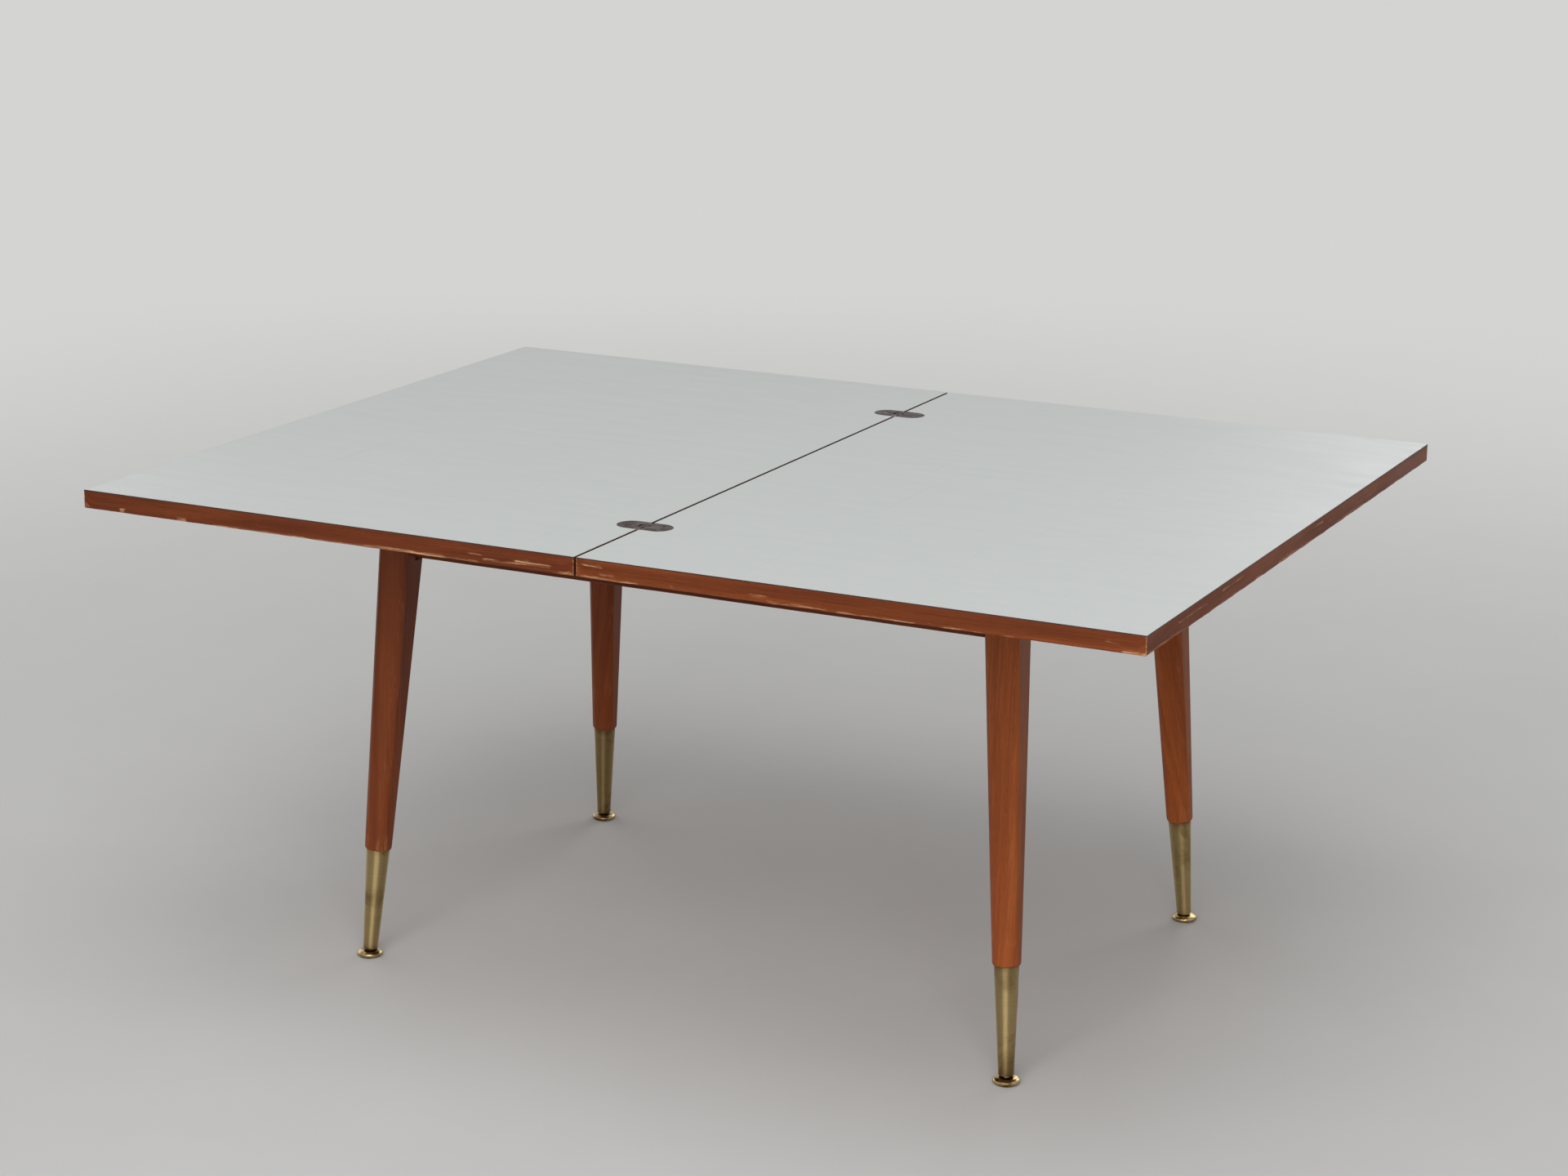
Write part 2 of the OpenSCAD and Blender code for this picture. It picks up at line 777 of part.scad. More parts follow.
// Tapered ferrule: a thin shell over the spigot and a solid end bored for the glide's stem
module ferrule(side_x, side_y) {
    end_r = ferrule_end_d / 2;
    top_r = ferrule_top_d / 2;
    taper = (top_r - end_r) / ferrule_len;
    color(BRASS) at_corner(side_x, side_y) on_leg_axis()
        difference() {
            translate([0, 0, ferrule_s0])
                rotate_extrude()
                    polygon([
                        [0, 0],
                        [end_r - ferrule_rim, 0],
                        [end_r + taper * ferrule_rim, ferrule_rim],
                        [top_r, ferrule_len],
                        [0, ferrule_len]
                    ]);
            translate([0, 0, ferrule_s1 - spigot_len])
                cylinder(r1 = top_r - taper * spigot_len - ferrule_wall,
                         r2 = top_r - ferrule_wall + taper * past,
                         h = spigot_len + past);
            translate([0, 0, ferrule_s0 - past])
                cylinder(d = stem_d + 2 * bore_gap, h = stem_len + 2 * past);
        }
}

// Glide: a domed foot flat on the floor, with a neck and a stem along the leg's axis
module glide(side_x, side_y) {
    rim_r = glide_d / 2;
    crown_r = neck_d / 2 + glide_ledge;
    color(BRASS) at_corner(side_x, side_y) {
        translate([foot_x, foot_y, 0])
            rotate_extrude()
                polygon(concat(
                    [[0, 0], [rim_r - glide_flat_in, 0], [rim_r - glide_ease_in, glide_ease_z]],
                    [for (i = [0:arc_steps])
                        let (a = 90 * i / arc_steps)
                        [crown_r + (rim_r - crown_r) * cos(a),
                         glide_rim_z + (glide_h - glide_rim_z) * sin(a)]],
                    [[0, glide_h]]
                ));
        on_leg_axis() {
            translate([0, 0, glide_h / 2]) cylinder(d = neck_d, h = neck_top - glide_h / 2);
            translate([0, 0, glide_h]) cylinder(d = stem_d, h = ferrule_s0 + stem_len - glide_h);
        }
    }
}

leaf_core(1);  // fixed_core
leaf_laminate(1);  // fixed_laminate
leaf_veneer(1);  // fixed_veneer
leaf_lipping(1, "front");  // fixed_lipping_front
leaf_lipping(1, "back");  // fixed_lipping_back
leaf_lipping(1, "outer");  // fixed_lipping_outer
leaf_lipping(1, "seam");  // fixed_lipping_seam
leaf_core(-1);  // folding_core
leaf_laminate(-1);  // folding_laminate
leaf_veneer(-1);  // folding_veneer
leaf_lipping(-1, "front");  // folding_lipping_front
leaf_lipping(-1, "back");  // folding_lipping_back
leaf_lipping(-1, "outer");  // folding_lipping_outer
leaf_lipping(-1, "seam");  // folding_lipping_seam
hinge_plate(1, -1);  // hinge_plate_front_fixed
hinge_plate(1, 1);  // hinge_plate_back_fixed
hinge_plate(-1, -1);  // hinge_plate_front_folding
hinge_plate(-1, 1);  // hinge_plate_back_folding
hinge_link(-1);  // hinge_link_front
hinge_link(1);  // hinge_link_back
hinge_pins(1);  // hinge_pins_fixed
hinge_pins(-1);  // hinge_pins_folding
hinge_screws(1);  // hinge_screws_fixed
hinge_screws(-1);  // hinge_screws_folding
swivel_plate();
swivel_screws();
pivot_bush();
pivot_washer();
pivot_nut();
pivot_board();
stop_pin();
board_cleat(-1);  // board_cleat_front
board_cleat(1);  // board_cleat_back
cleat_screws();
board_screws();
long_rail(-1);  // rail_front
long_rail(1);  // rail_back
side_rail(-1);  // rail_left
side_rail(1);  // rail_right
corner_block(-1, -1);  // corner_block_front_left
corner_block(1, -1);  // corner_block_front_right
corner_block(-1, 1);  // corner_block_back_left
corner_block(1, 1);  // corner_block_back_right
block_screws();
leg_bolts();
slide_pads();
leg(-1, -1);  // leg_front_left
leg(1, -1);  // leg_front_right
leg(-1, 1);  // leg_back_left
leg(1, 1);  // leg_back_right
ferrule(-1, -1);  // ferrule_front_left
ferrule(1, -1);  // ferrule_front_right
ferrule(-1, 1);  // ferrule_back_left
ferrule(1, 1);  // ferrule_back_right
glide(-1, -1);  // glide_front_left
glide(1, -1);  // glide_front_right
glide(-1, 1);  // glide_back_left
glide(1, 1);  // glide_back_right
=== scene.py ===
"""Coffee table with a white laminate top that turns on a pivot and folds in half on flush hinges.

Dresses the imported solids: new surfaces stand for the pieces whose edges, screws and wear show,
and every other solid keeps its shape and gets its finish. Sizes are in millimetres, the finished
pieces in metres, in the same frame as the solids: +X along the open top, +Y to the back, +Z up.
"""

import logging
import math
from dataclasses import dataclass, field, replace
from enum import Enum
from typing import Callable, Optional, Sequence, Union

import bmesh
import bpy
import numpy as np
from mathutils import Matrix, Vector


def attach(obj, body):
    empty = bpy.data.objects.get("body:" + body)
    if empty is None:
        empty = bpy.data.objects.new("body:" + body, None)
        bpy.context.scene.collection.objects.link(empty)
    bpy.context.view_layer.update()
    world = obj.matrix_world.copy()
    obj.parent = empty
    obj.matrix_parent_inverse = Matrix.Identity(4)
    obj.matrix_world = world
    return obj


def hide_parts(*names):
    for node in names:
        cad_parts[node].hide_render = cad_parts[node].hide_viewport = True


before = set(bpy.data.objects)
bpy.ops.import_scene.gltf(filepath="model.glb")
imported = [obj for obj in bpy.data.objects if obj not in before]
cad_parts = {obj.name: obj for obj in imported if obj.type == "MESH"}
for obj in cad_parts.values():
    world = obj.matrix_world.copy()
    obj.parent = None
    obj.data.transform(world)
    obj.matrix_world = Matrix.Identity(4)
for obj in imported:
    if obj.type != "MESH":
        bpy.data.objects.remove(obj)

LOG = logging.getLogger("coffee_table")
MM = 0.001  # metres in a millimetre
SHARP = math.radians(34)  # edges that turn by more than this stay sharp
QUARTER_TURNS = ((1, 0), (0, 1), (-1, 0), (0, -1))  # cosine and sine of 0, 90, 180 and 270 degrees
EVEN = (1.0, 1.0, 1.0)  # a stretch that changes nothing

Colour = tuple[float, float, float]
Point = tuple[float, float, float]
Number = Union[float, np.ndarray]
Socket = bpy.types.NodeSocket
Value = Union[Socket, float, str, Point]


@dataclass(frozen=True)
class Table:
    """Sizes that more than one sub-assembly is worked out from, in millimetres.

    Args:
        half_length, half_width, top: extent of the open top and its level.
        leaf_t: thickness of a leaf.
        seam: half the gap between the leaves.
        hinge_y: distance of each hinge from the middle.
        base_length, base_width: outer sides of the rail frame.
        base_back: how far the base stands behind the top's middle.
        rail_h, rail_t, rail_top: height, thickness and upper level of the rails.
    """

    half_length: float = 600.0
    half_width: float = 460.0
    top: float = 561.0
    leaf_t: float = 20.0
    seam: float = 1.5
    hinge_y: float = 315.0
    base_length: float = 730.0
    base_width: float = 467.0
    base_back: float = 20.0
    rail_h: float = 77.0
    rail_t: float = 20.0
    rail_top: float = 539.2


TABLE = Table()


def srgb(red: int, green: int, blue: int) -> Colour:
    """Linear colour of a paint chip read on a screen.

    Args:
        red, green, blue: the chip's values from 0 to 255.

    Returns:
        The three linear values.
    """
    chip = np.array([red, green, blue]) / 255
    linear = np.where(chip <= 0.04045, chip / 12.92, ((chip + 0.055) / 1.055) ** 2.4)
    return tuple(float(c) for c in linear)


# Surfaces


@dataclass
class Shell:
    """A surface as arrays.

    Args:
        points: one row a point, in millimetres.
        faces: point numbers of each face.
        uv: for each corner of each face, metres along and across the surface.
        worn: for each point, how much hands and feet reach it, from 0 to 1.
    """

    points: np.ndarray
    faces: list[list[int]]
    uv: np.ndarray
    worn: np.ndarray

    def placed(self, place: Callable[[np.ndarray], np.ndarray]) -> "Shell":
        """The same shell with its points moved by a function of the whole array."""
        return replace(self, points=place(self.points))

    def moved(self, step: Sequence[float]) -> "Shell":
        """The same shell, moved by a step."""
        return replace(self, points=self.points + np.asarray(step, float))

    def aimed(self, place: Sequence[float], way: Sequence[float]) -> "Shell":
        """The same shell, with its origin at a place and its +Z along a way."""
        matrix = np.array(Vector(way).to_track_quat("Z", "Y").to_matrix())
        return replace(self, points=self.points @ matrix.T + np.asarray(place, float))

    def laid(self, start: Sequence[float], turn: int) -> "Shell":
        """The same shell, turned about +Z by whole quarters and then moved.

        Args:
            start: where its origin comes to lie.
            turn: the turn in degrees, a multiple of 90.

        Returns:
            The shell in place.
        """
        cos, sin = QUARTER_TURNS[turn // 90 % 4]
        matrix = np.array([[cos, sin, 0], [-sin, cos, 0], [0, 0, 1]])
        return replace(self, points=self.points @ matrix + np.asarray(start, float))


def loft(rings: np.ndarray, worn: Optional[np.ndarray] = None) -> Shell:
    """Closed skin over a row of closed rings.

    Formula: S(i, j) is point j of ring i, quads join neighbours in i and j, and the first and last
    ring are closed by one flat face each. u is the mean length run from ring to ring, v the length
    run round a ring.

    Args:
        rings: array of rings, of points on a ring, of x, y, z in millimetres.
        worn: wear of each point of each ring, 0 where it isn't given.

    Returns:
        The shell, with its faces' corners in one turning sense.
    """
    count, around, _ = rings.shape
    index = np.arange(count * around).reshape(count, around)
    beside = np.roll(index, -1, axis=1)
    quads = np.stack([index[:-1], beside[:-1], beside[1:], index[1:]], axis=-1).reshape(-1, 4)
    closed = np.concatenate([rings, rings[:, :1]], axis=1)
    run = np.cumsum(np.linalg.norm(np.diff(closed, axis=1), axis=2), axis=1)
    v = np.concatenate([np.zeros((count, 1)), run], axis=1)
    u = np.concatenate([[0.0], np.cumsum(np.linalg.norm(np.diff(rings, axis=0), axis=2).mean(axis=1))])
    grid = np.stack([np.broadcast_to(u[:, None], v.shape), v], axis=-1) * MM
    uv = np.stack([grid[:-1, :-1], grid[:-1, 1:], grid[1:, 1:], grid[1:, :-1]], axis=2).reshape(-1, 2)
    ends = [index[0][::-1], index[-1]]
    flat = rings.reshape(-1, 3)
    end_uv = [np.stack([flat[e, 0] + flat[e, 2], flat[e, 1]], axis=1) * MM for e in ends]
    worn = np.zeros((count, around)) if worn is None else worn
    return Shell(
        flat,
        quads.tolist() + [e.tolist() for e in ends],
        np.concatenate([uv, *end_uv]),
        worn.reshape(-1).copy(),
    )


def round_angles(sides: int) -> np.ndarray:
    """Angles of points spread evenly round an axis, in radians."""
    return np.arange(sides) * 2 * math.pi / sides


def round_rings(radius: np.ndarray, level: np.ndarray, sides: int) -> np.ndarray:
    """Rings about the Z axis.

    Formula: S(i, a) = (r cos a, r sin a, z) with the radius and the level of ring i.

    Args:
        radius: one number a ring, or one for each point of each ring, in millimetres.
        level: one number a ring.
        sides: number of points round the axis.

    Returns:
        Array of rings for loft().
    """
    angle = round_angles(sides)
    shape = (len(level), sides)
    r = np.broadcast_to(np.asarray(radius, float).reshape(len(level), -1), shape)
    z = np.broadcast_to(np.asarray(level, float)[:, None], shape)
    return np.stack([r * np.cos(angle), r * np.sin(angle), z], axis=-1)


def lathe(profile: Sequence[tuple[float, float]], sides: int) -> Shell:
    """Turned piece about the Z axis.

    Formula: round_rings() of the profile. One that starts and ends at radius 0 closes the piece.

    Args:
        profile: radius and level of each step, in millimetres.
        sides: number of points round the axis.

    Returns:
        The shell.
    """
    steps = np.asarray(profile, float)
    return loft(round_rings(steps[:, 0], steps[:, 1], sides))


def arc(centre: tuple[float, float], radius: float, start: float, end: float, steps: int) -> np.ndarray:
    """Points on a circle from one angle to another, in degrees, both ends included."""
    angle = np.radians(np.linspace(start, end, steps + 1))
    return np.stack([centre[0] + radius * np.cos(angle), centre[1] + radius * np.sin(angle)], axis=1)


def eased_box(width: np.ndarray, height: np.ndarray, radii: Sequence[Number]) -> np.ndarray:
    """Rectangle with rounded corners, one for each station of a bar.

    Formula: each corner is a quarter circle of its own radius, tangent to both sides.

    Args:
        width, height: sides at each station, in millimetres.
        radii: radius at (0, 0), (width, 0), (width, height) and (0, height), numbers or arrays.

    Returns:
        Array of stations, of points, of across and up.
    """
    segments = 4
    stations = len(width)
    quarter = np.radians(np.linspace(0, 90, segments + 1))
    corners = []
    for number, radius in enumerate(radii):
        r = np.broadcast_to(np.asarray(radius, float), (stations,))[:, None]
        turn = quarter + math.radians(180 + 90 * number)
        across = (width[:, None] - r) if number in (1, 2) else r
        up = (height[:, None] - r) if number in (2, 3) else r
        corners.append(np.stack([across + r * np.cos(turn), up + r * np.sin(turn)], axis=-1))
    return np.concatenate(corners, axis=1)


def offset_ways(outline: np.ndarray) -> np.ndarray:
    """Way in which each corner of a closed plan moves when the plan shrinks by 1 mm.

    Formula: the two sides' inward normals, added and divided by 1 plus their dot product.

    Args:
        outline: corners of the plan, anticlockwise.

    Returns:
        One vector a corner.
    """
    side = np.roll(outline, -1, axis=0) - outline
    side /= np.linalg.norm(side, axis=1, keepdims=True)
    inward = np.stack([-side[:, 1], side[:, 0]], axis=1)
    before = np.roll(inward, 1, axis=0)
    return (inward + before) / (1 + np.sum(inward * before, axis=1, keepdims=True))


def plate(outline: np.ndarray, steps: Sequence[tuple[float, float]]) -> np.ndarray:
    """Rings of a flat plate whose edge follows a plan.

    Formula: S(i, j) is corner j of the plan, moved inwards by the i-th inset, at the i-th level.

    Args:
        outline: corners of the plan, anticlockwise.
        steps: inset and level of each ring, from the bottom up.

    Returns:
        Array of rings for loft().
    """
    ways = offset_ways(outline)
    return np.stack(
        [np.column_stack([outline + inset * ways, np.full(len(outline), z)]) for inset, z in steps]
    )


def hexagon_rings(across: float, steps: Sequence[tuple[float, float]]) -> np.ndarray:
    """Rings of a hexagonal head or nut with its corners turned off.

    Formula: radius at an angle is the smaller of the hexagon's, which is half the width across the
    flats over the cosine of the angle to the nearest flat's middle, and the ring's own limit.

    Args:
        across: width across the flats.
        steps: level and limit of the radius of each ring.

    Returns:
        Array of rings for loft().
    """
    sides = 72
    to_flat = (round_angles(sides) + math.pi / 6) % (math.pi / 3) - math.pi / 6
    six = across / 2 / np.cos(to_flat)
    level, limit = np.array(steps, float).T
    return round_rings(np.minimum(six, limit[:, None]), level, sides)


def ripple(t: np.ndarray, seed: int, wave: float) -> np.ndarray:
    """Smooth uneven curve between 0 and 1 along a length, the same for the same seed.

    Formula: five sines of falling wavelength and size with fixed random phases, brought to 0..1.

    Args:
        t: places along the length, in millimetres.
        seed: which curve.
        wave: longest wavelength, in millimetres.

    Returns:
        The curve's values at t.
    """
    sines = 5
    shorter = 1.87
    weaker = 0.6
    chance = np.random.default_rng(seed % 997)  # never below zero
    phase = chance.uniform(0, 2 * math.pi, sines)
    factor = shorter ** np.arange(sines)
    waves = np.sin(2 * math.pi * t[..., None] * factor / wave + phase) / factor**weaker
    return 0.5 + 0.5 * np.tanh(waves.sum(axis=-1))


# Finishes


class Grain(Enum):
    """Where a pattern's long direction lies: on the piece's own map, or along an axis."""

    ON_PIECE = "uv"
    ROUND_PIECE = "vu"
    ALONG_X = "xyz"
    ALONG_Y = "yxz"
    ALONG_Z = "zxy"


class Graph:
    """Nodes of one material, written as calls that return sockets."""

    def __init__(self, name: str) -> None:
        """Starts an empty material with its shader and its output.

        Args:
            name: name of the material.
        """
        self.material = bpy.data.materials.new(name)
        self.material.use_nodes = True
        self.tree = self.material.node_tree
        self.tree.nodes.clear()
        self.shader = self.tree.nodes.new("ShaderNodeBsdfPrincipled")
        self.out = self.tree.nodes.new("ShaderNodeOutputMaterial")
        self.put(self.out.inputs["Surface"], self.shader.outputs["BSDF"])

    def put(self, socket: Socket, value: Value) -> None:
        """Links a socket to a socket, or sets a plain value on it.

        Args:
            socket: a node's input.
            value: another node's output, or a number, word, colour or vector.
        """
        if isinstance(value, Socket):
            self.tree.links.new(value, socket)
        elif isinstance(value, tuple) and len(value) == 3 and socket.type == "RGBA":
            socket.default_value = (*value, 1.0)
        else:
            socket.default_value = value

    def node(self, kind: str, inputs: dict[Union[int, str], Value], **settings: str) -> bpy.types.Node:
        """Makes a node.

        Args:
            kind: its type, without the leading ShaderNode.
            inputs: values of its inputs, by name or by number.
            settings: its own settings.

        Returns:
            The node.
        """
        made = self.tree.nodes.new("ShaderNode" + kind)
        for key, value in settings.items():
            setattr(made, key, value)
        for key, value in inputs.items():
            self.put(made.inputs[key], value)
        return made

    def surface(self, **sockets: Value) -> bpy.types.Material:
        """Sets the shader's sockets.

        Args:
            sockets: values by the sockets' names, with underscores for blanks.

        Returns:
            The material.
        """
        for key, value in sockets.items():
            self.put(self.shader.inputs[key.replace("_", " ")], value)
        return self.material

    def place(self, grain: Grain, stretch: Point = EVEN, turn: float = 0.0) -> Socket:
        """Place on the piece in metres, the grain's way first, times a stretch for each way.

        Args:
            grain: where the long direction lies.
            stretch: factors along, across and through.
            turn: turn of the pattern about its third way, in degrees.

        Returns:
            A vector socket.
        """
        source = self.node("TexCoord", {})
        if grain is Grain.ON_PIECE:
            vector = source.outputs["UV"]
        elif grain is Grain.ROUND_PIECE:
            split = self.node("SeparateXYZ", {0: source.outputs["UV"]})
            vector = self.node("CombineXYZ", {0: split.outputs[1], 1: split.outputs[0]}).outputs[0]
        else:
            split = self.node("SeparateXYZ", {0: source.outputs["Object"]})
            ways = [split.outputs["xyz".index(way)] for way in grain.value]
            vector = self.node("CombineXYZ", dict(enumerate(ways))).outputs[0]
        spin = (0.0, 0.0, math.radians(turn))
        return self.node("Mapping", {"Vector": vector, "Rotation": spin, "Scale": stretch}).outputs[0]

    def noise(
        self, vector: Socket, scale: float = 1.0, detail: float = 2.0, rough: float = 0.5, bend: float = 0.0
    ) -> Socket:
        """Cloud noise from 0 to 1 at a place."""
        inputs = {"Vector": vector, "Scale": scale, "Detail": detail, "Roughness": rough, "Distortion": bend}
        return self.node("TexNoise", inputs).outputs[0]

    def cells(self, vector: Socket, scale: float) -> Socket:
        """Distance to the nearest of scattered points."""
        return self.node("TexVoronoi", {"Vector": vector, "Scale": scale}).outputs["Distance"]

    def rise(self, value: Socket, low: float, high: float, start: float = 0.0, end: float = 1.0) -> Socket:
        """Smooth step from start to end while value goes from low to high."""
        inputs = {"Value": value, "From Min": low, "From Max": high, "To Min": start, "To Max": end}
        return self.node("MapRange", inputs, interpolation_type="SMOOTHSTEP").outputs[0]

    def math(self, work: str, first: Value, second: Value = 0.0) -> Socket:
        """One sum: ADD, SUBTRACT, MULTIPLY, MINIMUM, MAXIMUM or ABSOLUTE."""
        return self.node("Math", {0: first, 1: second}, operation=work).outputs[0]

    def mix(self, share: Value, first: Value, second: Value, way: str = "MIX") -> Socket:
        """Colour between two colours, by a share from 0 to 1."""
        inputs = {0: share, 6: first, 7: second}
        return self.node("Mix", inputs, data_type="RGBA", blend_type=way).outputs[2]

    def attribute(self, name: str) -> Socket:
        """Number that the piece's points carry under that name."""
        return self.node("Attribute", {}, attribute_name=name).outputs["Fac"]

    def bump(self, height: Socket, depth: float, strength: float) -> Socket:
        """Normal bent by a height map whose full range is depth metres."""
        inputs = {"Height": height, "Distance": depth, "Strength": strength}
        return self.node("Bump", inputs).outputs[0]


@dataclass(frozen=True)
class Finish:
    """Finish of a surface; each kind draws its own nodes.

    Args:
        name: name of the finish.
    """

    name: str

    def draw(self, g: Graph) -> bpy.types.Material:
        """Draws the nodes and gives the material."""
        raise NotImplementedError

    def material(self) -> bpy.types.Material:
        """The material, made once."""
        name = self.name + "_finish"
        return bpy.data.materials.get(name) or self.draw(Graph(name))


@dataclass(frozen=True)
class Wood(Finish):
    """Stained or bare wood with figure, pores, lacquer and worn places.

    Args:
        light, dark: the two tones of the figure.
        pore: tone of the pores.
        bare: tone where the stain is rubbed off.
        grain: long direction.
        gloss: roughness of the lacquer.
        coat: weight of the lacquer's clear coat.
        scuff: how readily worn places show the bare tone, 0 for never.
        depth: depth of the pores in metres.
        fade: painted light and shade: how much lighter the wood is painted near the floor, and darker near
            the top, where the table top shades it.
    """

    light: Colour
    dark: Colour
    pore: Colour
    bare: Colour = (0.5, 0.33, 0.2)
    grain: Grain = Grain.ON_PIECE
    gloss: float = 0.4
    coat: float = 0.0
    scuff: float = 0.0
    depth: float = 0.00012
    fade: float = 0.0

    def draw(self, g: Graph) -> bpy.types.Material:
        """Broad figure, fine streaks and pores, then grime, painted light and shade by height, rubbed places
        and fine scratches.

        Args:
            g: the empty material. Stretches are in repeats a metre.

        Returns:
            The material.
        """
        figure = g.noise(g.place(self.grain, (2.6, 46.0, 46.0)), detail=4.0, rough=0.55, bend=0.5)
        streak = g.noise(g.place(self.grain, (11.0, 520.0, 520.0)), detail=3.0, rough=0.6)
        pore_at = g.noise(g.place(self.grain, (95.0, 2100.0, 2100.0)), detail=1.0)
        grime = g.noise(g.place(self.grain, (5.0, 9.0, 9.0)), detail=4.0, rough=0.6)
        colour = g.mix(g.rise(figure, 0.3, 0.68), self.dark, self.light)
        colour = g.mix(1.0, colour, g.rise(streak, 0.3, 0.7, 0.86, 1.1), "MULTIPLY")
        pores = g.rise(pore_at, 0.56, 0.7)
        colour = g.mix(g.math("MULTIPLY", pores, 0.42), colour, self.pore)
        colour = g.mix(g.rise(grime, 0.46, 0.72, 0.0, 0.26), colour, self.pore)
        # Painted light and shade: lighter towards the floor and darker towards the top, where the table top
        # shades a leg.
        if self.fade > 0:
            level = g.node("SeparateXYZ", {0: g.place(Grain.ALONG_X)}).outputs[2]
            painted_shade_ramp = g.rise(level, 0.08, 0.5, 1 + self.fade, 1 - self.fade)
            colour = g.mix(1.0, colour, painted_shade_ramp, "MULTIPLY")
        rough = g.rise(grime, 0.25, 0.75, self.gloss - 0.07, self.gloss + 0.09)
        height = g.math("MULTIPLY", pores, -1.0)
        if self.scuff > 0:
            colour, rough, height = self.rub(g, streak, colour, rough, height)
        scratch = g.noise(g.place(self.grain, (420.0, 16.0, 16.0), 24.0), detail=2.0)
        rough = g.math("ADD", rough, g.rise(scratch, 0.66, 0.74, 0.0, 0.1))
        return g.surface(
            Base_Color=colour,
            Roughness=rough,
            Normal=g.bump(height, self.depth, 0.6),
            Specular_IOR_Level=0.12,
            Coat_Weight=self.coat,
            Coat_Roughness=0.3,
        )

    def rub(
        self, g: Graph, streak: Socket, colour: Socket, rough: Socket, height: Socket
    ) -> tuple[Socket, Socket, Socket]:
        """Rubs the worn places: thin first, then bare, rougher and lower than the lacquer.

        Args:
            g: the material.
            streak: the wood's fine streaks.
            colour, rough, height: the unworn wood's.

        Returns:
            Colour, roughness and height with the rubbed places.
        """
        worn = g.attribute("worn")
        torn = g.noise(g.place(self.grain, (42.0, 620.0, 620.0)), detail=5.0, rough=0.66, bend=0.3)
        torn = g.rise(torn, 0.28, 0.72, 0.0, 0.6)
        reach = g.math("ADD", g.math("MULTIPLY", worn, self.scuff), torn)
        rubbed = g.rise(reach, 0.8, 0.95)
        thin = g.rise(reach, 0.56, 0.86, 0.0, 0.4)
        colour = g.mix(thin, colour, tuple(0.6 * a + 0.4 * b for a, b in zip(self.light, self.bare)))
        share = g.math("MULTIPLY", rubbed, 0.85)
        colour = g.mix(share, colour, g.mix(g.rise(streak, 0.35, 0.65), self.bare, self.light))
        rough = g.math("ADD", rough, g.math("MULTIPLY", rubbed, 0.3))
        return colour, rough, g.math("SUBTRACT", height, g.math("MULTIPLY", rubbed, 1.6))


@dataclass(frozen=True)
class Metal(Finish):
    """Metal with tarnish patches, brushing and stains.

    Args:
        clean, tarnish, stain: bright tone, dulled tone and tone of the deep patches.
        grain: way of the brushing.
        rough: roughness of the clean metal.
        patch: size of the patches, in patches a metre.
        old: how far the tarnish spreads, from 0 to 1.
        brush: depth of the brushing in metres.
        metallic: how metallic the surface is under its patina.
        turned: how far the gloss is drawn out along a turned piece, from 0 to 1.
    """

    clean: Colour
    tarnish: Colour
    stain: Colour
    grain: Grain = Grain.ALONG_X
    rough: float = 0.35
    patch: float = 60.0
    old: float = 0.5
    brush: float = 0.00003
    metallic: float = 1.0
    turned: float = 0.0

    def draw(self, g: Graph) -> bpy.types.Material:
        """Patches of tarnish and stain over brushed metal, rougher where they lie.

        Args:
            g: the empty material.

        Returns:
            The material.
        """
        patch, old = self.patch, self.old
        cloud = g.noise(g.place(self.grain, (patch, patch, patch)), detail=5.0, rough=0.6, bend=0.5)
        spot = g.noise(g.place(self.grain, (patch * 2.1, patch * 4.3, patch * 4.3)), detail=4.0, rough=0.65)
        line = g.noise(g.place(self.grain, (30.0, 2200.0, 2200.0)), detail=2.0)
        pit = g.cells(g.place(self.grain), patch * 9)
        dull = g.rise(cloud, 0.62 - 0.4 * old, 0.78 - 0.3 * old)
        deep = g.rise(spot, 0.7 - 0.16 * old, 0.84 - 0.12 * old)
        worn = g.attribute("worn")
        # Worn places darken towards the stain: wear on most pieces, and on the glide's low rim also painted
        # contact shadow.
        deep = g.math("MAXIMUM", deep, g.math("MULTIPLY", worn, g.rise(cloud, 0.3, 0.55)))
        colour = g.mix(dull, self.clean, self.tarnish)
        colour = g.mix(g.rise(line, 0.35, 0.7, 0.0, 0.15), colour, self.stain)
        colour = g.mix(g.math("MULTIPLY", deep, 0.85), colour, self.stain)
        rough = g.math("ADD", g.math("MULTIPLY", dull, 0.14), self.rough)
        rough = g.math("ADD", rough, g.math("MULTIPLY", deep, 0.18))
        rough = g.math("ADD", rough, g.rise(line, 0.3, 0.7, -0.04, 0.06))
        height = g.math("ADD", line, g.rise(pit, 0.0, 0.25, -0.8, 0.0))
        g.surface(
            Base_Color=colour,
            Roughness=rough,
            Metallic=self.metallic,
            Normal=g.bump(height, self.brush, 0.5),
        )
        if self.turned > 0:
            way = g.node("Tangent", {}, direction_type="UV_MAP", uv_map="UVMap")
            g.surface(Anisotropic=self.turned, Tangent=way.outputs[0])
        return g.material


